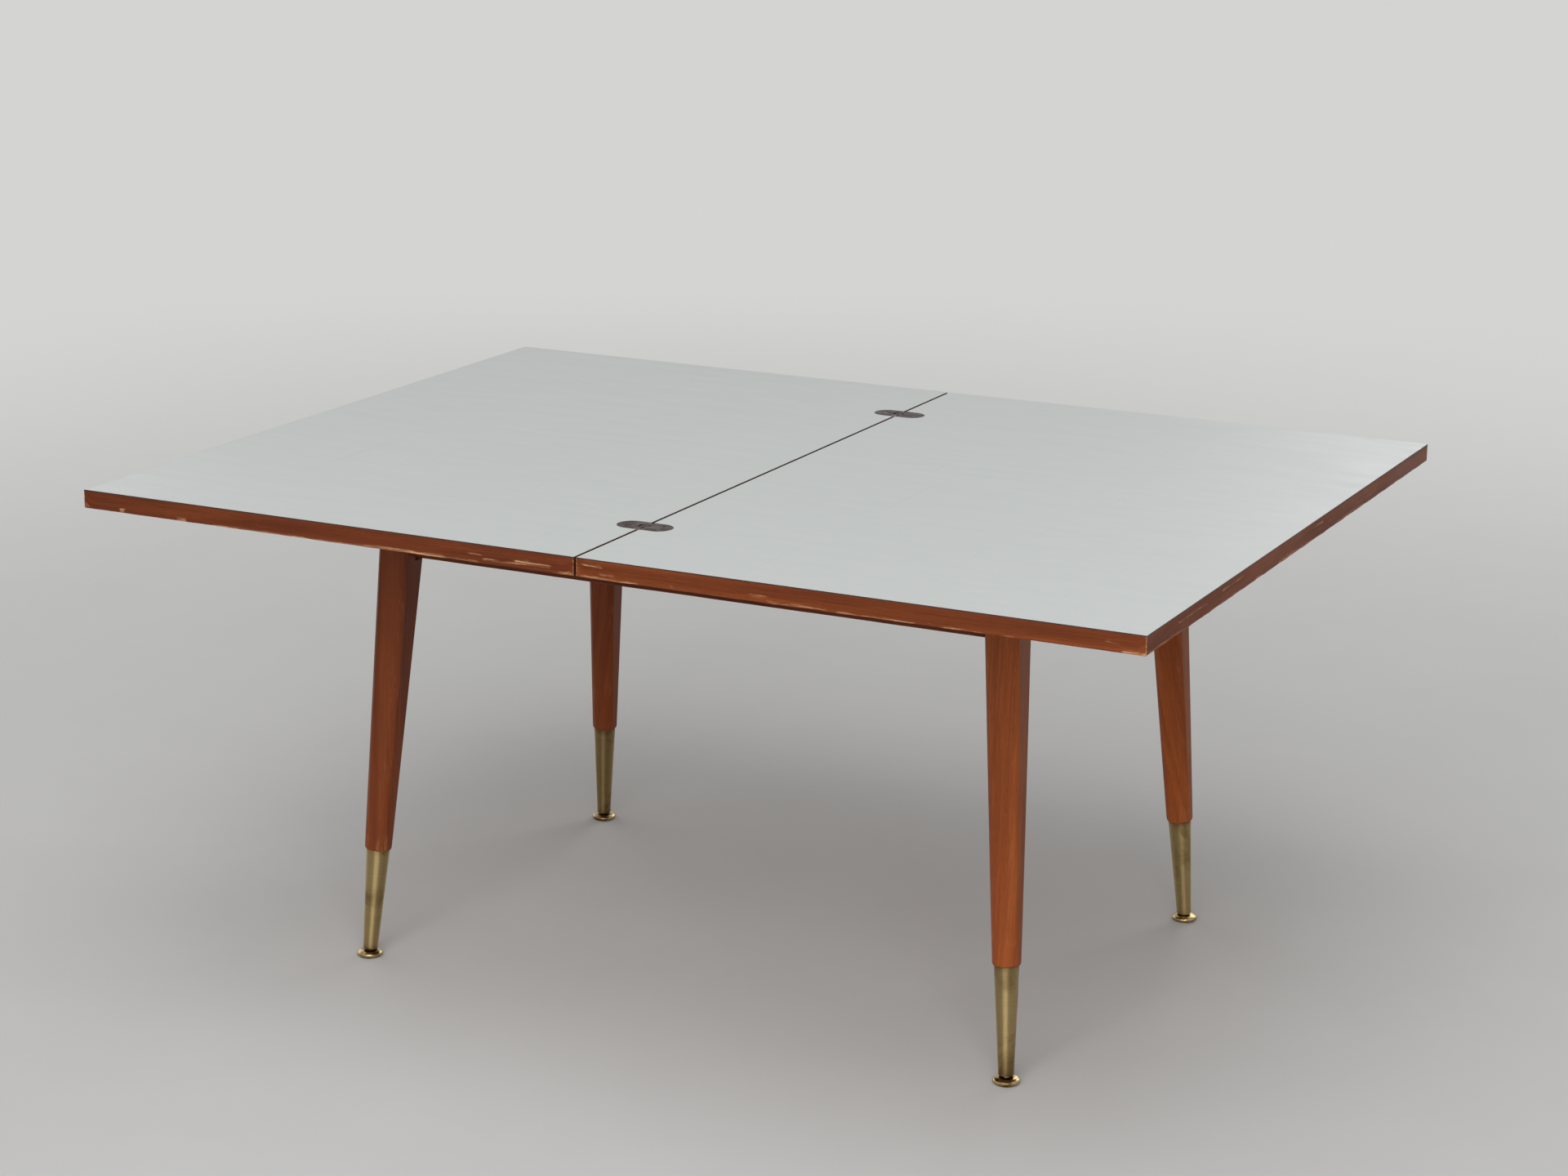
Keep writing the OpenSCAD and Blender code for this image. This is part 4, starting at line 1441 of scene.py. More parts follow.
@dataclass
class Swivel:
    """Pivot under the fixed leaf: plate, bush, washer, nut, board, cleats and their screws.

    Args:
        pivot: place of the pivot's axis.
        plate_low: level of the plate's underside.
        slot_r, screw_angles: distance of the plate's screws from the pivot and their directions.
        board_top, board_t, board_w: level, thickness and width of the pivot board.
        cleat: side of a cleat's square section.
        cleat_screw_in: distance of a cleat's screws from the board's sides.
        board_screw_pitch: distance between the board's two screws at each end.
        inner_y, base_back: the long rails' inner faces and the base's shift, from the shared sizes.
        nut_af, nut_h, nut_top: width across the nut's flats, its height and the level of its top.
        stud_r: radius of the nut's bore.
        wood_screw, board_screw, round_screw: screws of the plate, of the board and of the cleats.
    """

    pivot: tuple[float, float] = (140.375, -140.375)
    plate_low: float = 538.0
    slot_r: float = 38.0
    screw_angles: tuple[float, ...] = (10, 170, 240, 300)
    board_top: float = 536.2
    board_t: float = 18.0
    cleat: float = 20.0
    board_w: float = 130.0
    cleat_screw_in: float = 18.0
    board_screw_pitch: float = 46.0
    inner_y: float = TABLE.base_width / 2 - TABLE.rail_t
    base_back: float = TABLE.base_back
    nut_af: float = 18.0
    nut_h: float = 10.0
    nut_top: float = 515.9
    stud_r: float = 6.05
    wood_screw: Screw = field(default_factory=lambda: Screw(7.6, 4.0, 14.0, 2.4))
    board_screw: Screw = field(default_factory=lambda: Screw(7.6, 4.0, 31.0, 2.4))
    round_screw: Screw = field(default_factory=lambda: Screw(7.6, 4.0, 33.0, 2.4, crown=1.7, slot_deep=1.1))

    def nut(self) -> Shell:
        """Lock nut: chamfered hexagon over a turned collar, bored for the stud.

        Formula: hexagon_rings() from the bottom of the bore, out over the collar, up the flats and
        back down the bore, as one ring-shaped surface.

        Returns:
            The shell.
        """
        half, h, bore = self.nut_af / 2, self.nut_h, self.stud_r
        corner = half / math.cos(math.pi / 6)
        steps = [
            (h, bore),
            (0.0, bore),
            (0.0, half - 1.2),
            (0.4, half - 0.6),
            (2.2, half - 0.6),
            (2.5, half),
            (3.3, corner),
            (h - 0.8, corner),
            (h, half - 0.1),
            (h, bore),
        ]
        return loft(hexagon_rings(self.nut_af, steps))

    def build(self, shop: Workshop) -> None:
        """Dresses the plate, bush, washer, pin and wood, and makes the nut and the screws.

        Args:
            shop: the workshop that makes them.
        """
        shop.dress(["swivel_plate", "pivot_washer", "stop_pin"], Finishes.ZINC)
        shop.dress(["pivot_bush"], Finishes.NYLON)
        shop.dress(["pivot_board"], Finishes.INNER_Y)
        shop.dress(["board_cleat_front", "board_cleat_back"], Finishes.INNER_X)
        px, py = self.pivot
        nut = self.nut().moved((px, py, self.nut_top - self.nut_h))
        shop.piece("pivot_lock_nut", [nut], Finishes.ZINC, "turning_leaf", "swivel_steel", "pivot_nut")
        steel = (Finishes.SCREW, "turning_leaf", "screw_steel")
        shells = []
        for number, angle in enumerate(np.radians(self.screw_angles)):
            place = (px + self.slot_r * math.cos(angle), py + self.slot_r * math.sin(angle), self.plate_low)
            shells += self.wood_screw.at(place, (0, 0, -1), 40 + 67 * number)
        shop.piece("swivel_slotted_screws", shells, *steel, "swivel_screws")
        board, cleats = [], []
        mid = self.board_top - self.board_t - self.cleat / 2
        for end in (-1, 1):
            for row in (-1, 1):
                y = self.base_back + end * (self.inner_y - self.cleat / 2)
                x = px + row * self.board_screw_pitch / 2
                board += self.board_screw.at((x, y, self.board_top), (0, 0, 1), 25 * (3 + row + 4 * end))
                y = self.base_back + end * (self.inner_y - self.cleat)
                x = px + row * (self.board_w / 2 - self.cleat_screw_in)
                cleats += self.round_screw.at((x, y, mid), (0, -end, 0), 31 * (4 + row + 3 * end))
        steel = (Finishes.SCREW, "base", "screw_steel")
        shop.piece("board_slotted_screws", board, *steel, "board_screws")
        shop.piece("cleat_round_screws", cleats, *steel, "cleat_screws")


@dataclass
class BaseFrame:
    """Four rails, glue blocks with their screws and bolts, and the pads that the top slides on.

    Args:
        length, width, base_back, rail_h, rail_t, rail_top: the shared sizes.
        rail_ease, top_ease: easing of a rail's lower and upper arrises.
        rail_station: step from point to point along a rail.
        block_side: length of a glue block along each rail.
        block_screw_in, block_screw_seat: distance of its screws from its end and from the rail.
        block_screw_z: distance of its screws above and below the rails' middle.
        bolt_d, bolt_af, bolt_h: a leg bolt's diameter, width across the flats and height of its head.
        bolt_bite: how far a leg bolt goes in past the frame's corner.
        pad_d, pad_t, pad_in: a pad's diameter, its thickness and its distance from the frame's end.
        screw: a glue block's screw.
    """

    length: float = TABLE.base_length
    width: float = TABLE.base_width
    base_back: float = TABLE.base_back
    rail_h: float = TABLE.rail_h
    rail_t: float = TABLE.rail_t
    rail_top: float = TABLE.rail_top
    rail_ease: float = 1.5
    top_ease: float = 0.4
    rail_station: float = 15.0
    block_side: float = 55.0
    block_screw_in: float = 20.0
    block_screw_seat: float = 9.0
    block_screw_z: float = 16.0
    bolt_d: float = 6.0
    bolt_af: float = 10.0
    bolt_h: float = 4.0
    bolt_bite: float = 11.0
    pad_d: float = 14.0
    pad_t: float = 1.5
    pad_in: float = 65.0
    screw: Screw = field(default_factory=lambda: Screw(7.6, 4.0, 22.0, 2.4, crown=1.7, slot_deep=1.1))

    @property
    def rail_bottom(self) -> float:
        """Level of the rails' underside."""
        return self.rail_top - self.rail_h

    @property
    def mid_z(self) -> float:
        """Level of the rails' middle."""
        return self.rail_bottom + self.rail_h / 2

    @property
    def bolt_reach(self) -> float:
        """Distance from the head's seat on a glue block to the frame's outer corner."""
        return (self.rail_t + self.block_side / 2) * math.sqrt(2)

    def rail(self, length: float, start: tuple[float, float], turn: int) -> Shell:
        """One rail, along a line from its start, outer face on that line.

        Formula: S(t, q) is point q of the eased section at t; the lower arrises swell and shrink a
        little along the rail, as hand-sanded ones do.

        Args:
            length: its length.
            start: start of the line, measured from the middle of the base.
            turn: direction of the line, in degrees.

        Returns:
            The shell.
        """
        t = np.linspace(0, length, int(length / self.rail_station))
        ease = self.rail_ease * (0.75 + 0.5 * ripple(t, int(length) + turn, 180.0))
        one = np.ones(len(t))
        eases = (ease, ease, self.top_ease, self.top_ease)
        section = eased_box(one * self.rail_t, one * self.rail_h, eases)
        across, up = section[..., 0], section[..., 1]
        points = np.stack([np.broadcast_to(t[:, None], up.shape), across, up], axis=-1)
        worn = np.where(up < 2.5, 0.8, 0.15) * ripple(t, turn + 3, 120.0)[:, None]
        return loft(points, worn).laid((start[0], start[1] + self.base_back, self.rail_bottom), turn)

    def bolt(self) -> list[Shell]:
        """Leg bolt along +Z, the underside of its chamfered head at the origin.

        Returns:
            Its head and its shank.
        """
        half, low = self.bolt_af / 2, -self.bolt_h
        corner = half / math.cos(math.pi / 6)
        middle = half * 0.1
        head = [(low, middle), (low, half * 0.93), (low + 0.6, corner), (0.0, corner), (0.0, middle)]
        tip = self.bolt_reach + self.bolt_bite
        r = self.bolt_d / 2
        shank = [(0, 0), (r, 0), (r, tip - 1), (r - 1, tip), (0, tip)]
        return [loft(hexagon_rings(self.bolt_af, head)), lathe(shank, 32)]

    def pads(self) -> list[Shell]:
        """Slide pads: six on the long rails and one on each side rail.

        Formula: lathe() of a disc with an eased rim.

        Returns:
            The shells.
        """
        half_l, half_w = self.length / 2, self.width / 2
        r, t = self.pad_d / 2, self.pad_t
        disc = [(0, 0), (r - 0.2, 0), (r, 0.3), (r, t - 0.5), (r - 0.2, t - 0.15), (r - 0.7, t), (0, t)]
        long_x, long_y = half_l - self.pad_in, half_w - self.rail_t / 2
        spots = [(p * long_x, e * long_y) for p in (-1, 0, 1) for e in (-1, 1)]
        spots += [(s * (half_l - self.rail_t / 2), 0) for s in (-1, 1)]
        return [lathe(disc, 40).moved((x, y + self.base_back, self.rail_top)) for x, y in spots]

    def build(self, shop: Workshop) -> None:
        """Makes rails, screws, bolts and pads and dresses the blocks.

        Args:
            shop: the workshop that makes them.
        """
        half_l, half_w = self.length / 2, self.width / 2
        in_x, in_y = half_l - self.rail_t, half_w - self.rail_t
        places = {
            "front": (self.length, (-half_l, -half_w), 0),
            "back": (self.length, (half_l, half_w), 180),
            "left": (2 * in_y, (-half_l, in_y), -90),
            "right": (2 * in_y, (half_l, -in_y), 90),
        }
        for word, place in places.items():
            rail = self.rail(*place)
            shop.piece(f"frame_{word}", [rail], Finishes.RAIL, "base", "rail_wood", f"rail_{word}")
        shop.dress([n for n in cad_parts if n.startswith("corner_block_")], Finishes.INNER_Z)
        along, deep = self.block_side - self.block_screw_in, self.block_screw_seat
        upper, lower = self.mid_z + self.block_screw_z, self.mid_z - self.block_screw_z
        slope = math.sqrt(0.5)
        screws, bolts = [], []
        for sx in (-1, 1):
            for sy in (-1, 1):
                spot = (sx * (in_x - along), sy * (in_y - deep) + self.base_back, upper)
                screws += self.screw.at(spot, (0, -sy, 0), 40 * (2 + sx) + 17 * sy)
                spot = (sx * (in_x - deep), sy * (in_y - along) + self.base_back, lower)
                screws += self.screw.at(spot, (-sx, 0, 0), 33 * (3 + sy) + 9 * sx)
                way = np.array([sx * slope, sy * slope, 0])
                corner = np.array([sx * half_l, sy * half_w + self.base_back, self.mid_z])
                bolts += [shell.aimed(corner - self.bolt_reach * way, way) for shell in self.bolt()]
        shop.piece("block_round_screws", screws, Finishes.SCREW, "base", "screw_steel", "block_screws")
        shop.piece("leg_hex_bolts", bolts, Finishes.ZINC, "base", "screw_steel", "leg_bolts")
        shop.piece("slide_felt_pads", self.pads(), Finishes.FELT, "base", "pad_felt", "slide_pads")


class Corner(Choice):
    """The base's corners, as signs along X and Y from its middle."""

    FRONT_LEFT = (-1, -1)
    FRONT_RIGHT = (1, -1)
    BACK_LEFT = (-1, 1)
    BACK_RIGHT = (1, 1)


AROUND = 72  # points round a leg's section
QUARTER = AROUND // 4
FLAT = 13  # points on each planed flat, the quarter's others on its arc
CUT_Y = 2 * QUARTER + FLAT // 2  # point where the frame's long face cuts the leg
CUT_X = 3 * QUARTER + FLAT // 2  # point where the frame's end face cuts it
INNER = (CUT_Y + CUT_X) // 2  # point at the frame's corner, in the notch


@dataclass
class Leg:
    """Leg, ferrule and glide of one corner, worked out for the back right corner and mirrored.

    A station is a distance along the leg's axis from the floor.

    Args:
        corner: which corner.
        frame_x, frame_y: the frame's outer corner, from the middle of the base.
        base_back, rail_top, rail_h: the shared sizes.
        top_side, end_side: side of the planed square at the top and at the ferrule's mouth.
        top_d, end_d: diameter of the turned taper at the same places.
        end_round, end_round_h: how far the wood is rounded in at the mouth, and over what height.
        lap: how far the leg stands out past the frame.
        splay_x, splay_y: lean of the leg along X and Y, in degrees.
        shoulder_cut: chamfer of the shoulder under the frame.
        wood_ease: bevel of the wood's sharp edges.
        ferrule_s0, ferrule_len: station of the ferrule's lower end and its length.
        ferrule_top_d, ferrule_end_d, ferrule_wall: its diameter at the mouth and the end, and its wall.
        spigot_len, spigot_gap: length of the wood inside the ferrule and the gap round it.
        glide_d, glide_h, rim_z: the dome's diameter, its height and the level of its widest ring.
        neck_d, neck_h: diameter and height of the neck over the dome.
        stem_d, stem_len, stem_pitch: the stem's diameter, its length in the ferrule and its thread.
    """

    corner: Corner
    frame_x: float = TABLE.base_length / 2
    frame_y: float = TABLE.base_width / 2
    base_back: float = TABLE.base_back
    rail_top: float = TABLE.rail_top
    rail_h: float = TABLE.rail_h
    top_side: float = 40.0
    end_side: float = 28.5
    top_d: float = 52.0
    end_d: float = 30.0
    end_round: float = 1.1
    end_round_h: float = 2.5
    lap: float = 13.0
    splay_x: float = 3.4
    splay_y: float = 4.7
    shoulder_cut: float = 4.0
    wood_ease: float = 0.5
    ferrule_s0: float = 8.7
    ferrule_len: float = 118.0
    ferrule_top_d: float = 26.4
    ferrule_end_d: float = 16.4
    ferrule_wall: float = 1.2
    spigot_len: float = 84.0
    spigot_gap: float = 0.03
    glide_d: float = 29.0
    glide_h: float = 7.4
    rim_z: float = 3.3
    neck_d: float = 9.0
    neck_h: float = 1.0
    stem_d: float = 7.0
    stem_len: float = 20.0
    stem_pitch: float = 1.0

    def __post_init__(self) -> None:
        """Works out the leg's place, its axes and the stations along it."""
        self.mid_x = self.frame_x + self.lap - self.top_side / 2
        self.mid_y = self.frame_y + self.lap - self.top_side / 2
        lean_x, lean_y = math.radians(self.splay_x), math.radians(self.splay_y)
        foot_x = self.mid_x + math.tan(lean_x) * self.rail_top
        foot_y = self.mid_y + math.tan(lean_y) * self.rail_top
        self.foot = np.array([foot_x, foot_y, 0.0])
        tilt = math.atan(math.tan(lean_y) * math.cos(lean_x))
        self.axes = np.array(
            [
                [math.cos(lean_x), 0.0, math.sin(lean_x)],
                [-math.sin(tilt) * math.sin(lean_x), math.cos(tilt), math.sin(tilt) * math.cos(lean_x)],
                [-math.cos(tilt) * math.sin(lean_x), -math.sin(tilt), math.cos(tilt) * math.cos(lean_x)],
            ]
        )
        self.s_mouth = self.ferrule_s0 + self.ferrule_len
        self.s_top = self.rail_top / self.axes[2, 2]
        self.s_shoulder = (self.rail_top - self.rail_h) / self.axes[2, 2]
        self.ferrule_taper = (self.ferrule_top_d - self.ferrule_end_d) / 2 / self.ferrule_len

    def to_table(self, points: np.ndarray) -> np.ndarray:
        """Points of the back right corner, measured from the base's middle, brought to this corner."""
        sx, sy = self.corner.value
        return points * np.array([sx, sy, 1]) + np.array([0, self.base_back, 0])

    def on_axis(self, points: np.ndarray) -> np.ndarray:
        """Points given along the leg's own axes, brought to this corner."""
        return self.to_table(points @ self.axes + self.foot)

    def half_side(self, s: np.ndarray) -> np.ndarray:
        """Half the planed square's side at a station."""
        share = (s - self.s_mouth) / (self.s_top - self.s_mouth)
        return self.end_side / 2 + (self.top_side - self.end_side) / 2 * share

    def radius(self, s: np.ndarray) -> np.ndarray:
        """Radius of the turned taper at a station, rounded in at its lower end.

        Args:
            s: stations along the leg.

        Returns:
            The radii.
        """
        taper = (self.top_d - self.end_d) / 2 / (self.s_top - self.s_mouth)
        full = self.end_d / 2 + taper * (s - self.s_mouth)
        up = np.clip((s - self.s_mouth) / self.end_round_h, 0, 1)
        return full - self.end_round * (1 - np.sqrt(1 - (1 - up) ** 2))

    def section(self, s: np.ndarray, cut: Sequence[Number]) -> tuple[np.ndarray, np.ndarray]:
        """Section of the planed taper, point by point.

        Formula: a circle whose four sides are planed flat. Each quarter holds 13 points on its flat,
        from crease to crease, and 5 on its arc. On the two inner flats the seventh point lies where
        the frame's face cuts the leg.

        Args:
            s: station of each point, stations by 72.
            cut: for the third and fourth flat, the cut's place from -1 to 1, numbers or columns.

        Returns:
            The points' two coordinates across the leg.
        """
        flats = [np.broadcast_to(np.linspace(-1, 1, FLAT), (len(s), FLAT))] * 2
        half_run = np.linspace(0, 1, FLAT // 2 + 1)
        for place in cut:
            column = np.broadcast_to(np.asarray(place, float).reshape(-1, 1), (len(s), 1))
            first = -1 + (column + 1) * half_run
            flats.append(np.concatenate([first, column + (1 - column) * half_run[1:]], axis=1))
        share = np.linspace(0, 1, QUARTER - FLAT + 2)[1:-1]
        x, y = [], []
        for number, (flat, (cos, sin)) in enumerate(zip(flats, QUARTER_TURNS)):
            part = s[:, QUARTER * number : QUARTER * (number + 1)]
            r = self.radius(part)
            a = np.minimum(self.half_side(part), r)
            crease = np.arccos(np.clip(a / r, -1, 1))[:, FLAT:]
            half = np.sqrt(np.clip(r**2 - a**2, 0, None))[:, :FLAT]
            angle = crease + (math.pi / 2 - 2 * crease) * share
            px = np.concatenate([a[:, :FLAT], r[:, FLAT:] * np.cos(angle)], axis=1)
            py = np.concatenate([half * flat, r[:, FLAT:] * np.sin(angle)], axis=1)
            x.append(cos * px - sin * py)
            y.append(sin * px + cos * py)
        return np.concatenate(x, axis=1), np.concatenate(y, axis=1)

    def skin(self, s_mid: np.ndarray, level: np.ndarray) -> np.ndarray:
        """Points of the leg at stations that start square to its axis and end level.

        Formula: S(k, j) is point j of the section at station s, and s is solved point by point so
        that a share of the way from the station's plane to the level plane is covered.

        Args:
            s_mid: station of each ring on the axis.
            level: share from 0, square to the axis, to 1, level.

        Returns:
            Rings by 72 by 3, in the back right corner, measured from the base's middle.
        """
        rounds = 6
        most = 0.9  # the cuts stay this side of the creases
        ex, ey, up = self.axes
        z = (s_mid * up[2])[:, None]
        s = np.broadcast_to(s_mid[:, None], (len(s_mid), AROUND)).astype(float)
        cut = (0.0, 0.0)
        for _ in range(rounds):
            x, y = self.section(s, cut)
            flat_s = (z - x * ex[2] - y * ey[2]) / up[2]
            s = s_mid[:, None] * (1 - level[:, None]) + flat_s * level[:, None]
            a, r = self.half_side(s), self.radius(s)
            half = np.sqrt(np.clip(r**2 - a**2, 1e-6, None))
            want_y = (self.frame_y - self.foot[1] - s[:, CUT_Y] * up[1] + a[:, CUT_Y] * ex[1]) / ey[1]
            want_x = (self.frame_x - self.foot[0] - s[:, CUT_X] * up[0] + a[:, CUT_X] * ey[0]) / ex[0]
            cut = (
                np.clip(-want_y / half[:, CUT_Y], -most, most),
                np.clip(want_x / half[:, CUT_X], -most, most),
            )
        x, y = self.section(s, cut)
        return np.stack([x, y, s], axis=-1) @ self.axes + self.foot

    def spigot(self) -> np.ndarray:
        """Rings of the tapered end that sits in the ferrule.

        Formula: the directions of the section's points just above the mouth, times the ferrule's
        inner radius at the end and at the mouth.

        Returns:
            Two rings, placed as skin() has them.
        """
        stations = np.array([self.s_mouth - self.spigot_len, self.s_mouth])
        mouth = self.ferrule_top_d / 2 - self.ferrule_wall - self.spigot_gap
        radii = np.array([mouth - self.ferrule_taper * self.spigot_len, mouth])
        x, y = self.section(np.broadcast_to(self.s_mouth + 3.0, (1, AROUND)), (0.0, 0.0))
        ways = np.stack([x, y], axis=-1)[0] / np.hypot(x, y)[0][:, None]
        along = np.broadcast_to(stations[:, None, None], (2, AROUND, 1))
        rings = np.concatenate([ways * radii[:, None, None], along], axis=-1)
        return rings @ self.axes + self.foot

    def shaft(self) -> np.ndarray:
        """Rings from the rounded end up to the chamfered shoulder.

        Formula: skin() at stations that turn from square to level on a smooth step. On the last
        ring the points under the frame step in by the chamfer.

        Returns:
            The rings, placed as skin() has them.
        """
        square, flat = 60.0, 20.0  # lengths that stay square to the axis and that are level
        low = self.s_mouth + np.array([0.0, 0.12, 0.4, 0.9, 1.6, 2.5, 5.0])
        middle = np.linspace(self.s_mouth + 14, self.s_shoulder - 12, 26)
        high = np.array([self.s_shoulder - self.shoulder_cut / self.axes[2, 2], self.s_shoulder])
        stations = np.concatenate([low, middle, high])
        turning = self.s_shoulder - self.s_mouth - (square + flat)
        level = np.clip((stations - self.s_mouth - square) / turning, 0, 1)
        rings = self.skin(stations, level**2 * (3 - 2 * level))
        lean = self.rail_h * np.tan(np.radians([self.splay_x, self.splay_y]))
        side = 2 * self.half_side(np.array(self.s_shoulder))
        shoulder = np.array([self.mid_x, self.mid_y]) + lean - side / 2 + self.shoulder_cut
        under = slice(CUT_Y + 1, CUT_X)
        rings[-1, under, :2] = np.maximum(rings[-1, under, :2], shoulder)
        return rings

    def notch(self) -> np.ndarray:
        """Rings above the shoulder, with the frame's corner cut out of them.

        Formula: skin() at level stations. The points between the two cuts lie on two straight lines
        that meet at the frame's corner, which makes an L.

        Returns:
            The rings, placed as skin() has them.
        """
        stations = np.linspace(self.s_shoulder, self.s_top, 8)
        rings = self.skin(stations, np.ones(len(stations)))
        cut_y, cut_x = rings[:, CUT_Y, None].copy(), rings[:, CUT_X, None].copy()
        corner = cut_y.copy()
        corner[..., :2] = self.frame_x, self.frame_y
        way = np.linspace(0, 1, INNER - CUT_Y + 1)[None, :, None]
        rings[:, CUT_Y : INNER + 1] = cut_y * (1 - way) + corner * way
        rings[:, INNER : CUT_X + 1] = corner * (1 - way) + cut_x * way
        return rings

    def wood(self) -> Shell:
        """The leg: spigot, rounded end, planed taper, chamfered shoulder and the notch above it.

        Formula: the rings of spigot(), shaft() and notch() as one skin. It is worn along its creases
        and towards its lower end; the lighter line along the creases is wear and also a painted
        highlight on the rounded arrises.

        Returns:
            The shell.
        """
        rings = np.concatenate([self.spigot(), self.shaft(), self.notch()])
        height = rings[..., 2]
        uneven = ripple(height, 11 + len(self.corner.label), 90.0)
        crease = np.tile(np.concatenate([[1.0], np.zeros(FLAT - 2), np.ones(QUARTER - FLAT + 1)]), 4)
        low_end = np.exp(-np.clip(height - self.s_mouth, 0, None) / 14.0)
        # The lighter line rubbed along the creases is wear and also a painted highlight on the rounded
        # arrises.
        worn = np.clip(0.75 * crease * uneven + 0.8 * low_end * uneven, 0, 1)
        return loft(rings, worn).placed(self.to_table)

    def sleeve(self) -> Shell:
        """Ferrule: one turned profile, from the glide's bore over the outside to the spigot's seat.

        Formula: lathe() of the profile, a straight taper with an eased end and a small rolled lip
        at the mouth. It is worn at both ends.

        Returns:
            The shell, in place.
        """
        s0, s1 = self.ferrule_s0, self.s_mouth
        end_r, top_r = self.ferrule_end_d / 2, self.ferrule_top_d / 2
        wall = self.ferrule_wall
        bore = self.stem_d / 2 + 0.05
        bore_top = s0 + self.stem_len + 1
        seat = s1 - self.spigot_len
        run = self.ferrule_len * np.linspace(0.02, 0.985, 24)
        lip = arc((top_r - wall / 2, s1 - wall / 2), wall / 2, 0, 180, 8)
        profile = [
            (0, bore_top),
            (bore, bore_top),
            (bore, s0),
            (end_r - 1.1, s0),
            (end_r - 0.4, s0 + 0.15),
            (end_r - 0.05, s0 + 0.6),
            *zip(end_r + self.ferrule_taper * run, s0 + run),
            *lip,
            (top_r - wall - self.ferrule_taper * self.spigot_len, seat),
            (0, seat),
        ]
        shell = lathe(profile, 72)
        s = shell.points[:, 2]
        ends = np.exp(-np.abs(s - s0) / 3.0) + 0.8 * np.exp(-np.abs(s1 - s) / 2.2)
        shell.worn = np.clip(ends, 0, 1)
        return shell.placed(self.on_axis)

    def foot_dome(self) -> Shell:
        """Domed foot of the glide, flat on the floor, with its centre at the origin.

        Formula: lathe() of a full-shouldered dome, with the radius as the root of the cosine and the
        level as the sine of one angle, over a rounded low edge. It is worn where it meets the floor,
        and the dark stain there is also painted contact shadow.

        Returns:
            The shell.
        """
        rim = self.glide_d / 2
        neck_r = self.neck_d / 2
        last = math.acos(((neck_r + 0.3) / rim) ** 2)
        angle = np.linspace(0, last, 22)
        flat = [(0, 0), (rim - 3.0, 0)]
        low = [(rim - 1.9, 0.2), (rim - 1.0, 0.75), (rim - 0.4, 1.5), (rim - 0.1, 2.4)]
        dome = zip(rim * np.sqrt(np.cos(angle)), self.rim_z + (self.glide_h - self.rim_z) * np.sin(angle))
        top = [(neck_r, self.glide_h - 0.4), (0, self.glide_h - 0.4)]
        shell = lathe([*flat, *low, *dome, *top], 72)
        # Dark stain at the low rim: wear, and painted contact shadow where the dome meets the floor.
        shell.worn = np.clip(1.2 * np.exp(-shell.points[:, 2] / 1.2), 0, 1)
        return shell

    def stem(self) -> Shell:
        """Neck and threaded stem of the glide, along the leg's axis.

        Formula: round_rings() whose radius swings with the sine of level over pitch less angle.

        Returns:
            The shell.
        """
        sides = 40
        neck_r = self.neck_d / 2
        middle, neck_top = self.glide_h / 2, self.glide_h + self.neck_h
        radii = np.array([0.0, neck_r, neck_r, neck_r - 0.3])
        neck = round_rings(radii, np.array([middle, middle, neck_top - 0.3, neck_top]), sides)
        z = np.linspace(neck_top, self.ferrule_s0 + self.stem_len, 60)
        swing = np.sin(2 * math.pi * z[:, None] / self.stem_pitch - round_angles(sides))
        thread = round_rings(self.stem_d / 2 * (0.95 + 0.05 * swing), z, sides)
        return loft(np.concatenate([neck, thread]))

    def build(self, shop: Workshop) -> None:
        """Makes the three pieces of this corner.

        Args:
            shop: the workshop that makes them.
        """
        leg, ferrule, glide = (f"{kind}_{self.corner.label}" for kind in ("leg", "ferrule", "glide"))
        # The left legs get the darker copy of the leg wood: painted shade.
        wood = Finishes.LEG_DARK if self.corner.value[0] < 0 else Finishes.LEG
        # The back left ferrule gets the darker copy of the brass: painted shade.
        brass = Finishes.FERRULE_DARK if self.corner is Corner.BACK_LEFT else Finishes.FERRULE
        dome = self.foot_dome().moved(self.foot).placed(self.to_table)
        foot = [dome, self.stem().placed(self.on_axis)]
        shop.piece(f"tapered_{leg}", [self.wood()], wood, "base", "leg_wood", leg, bevel=self.wood_ease)
        shop.piece(f"brass_{ferrule}", [self.sleeve()], brass, "base", "ferrule_brass", ferrule)
        shop.piece(f"brass_{glide}", foot, Finishes.GLIDE, glide, "glide_brass", glide)


# Camera, light and floor


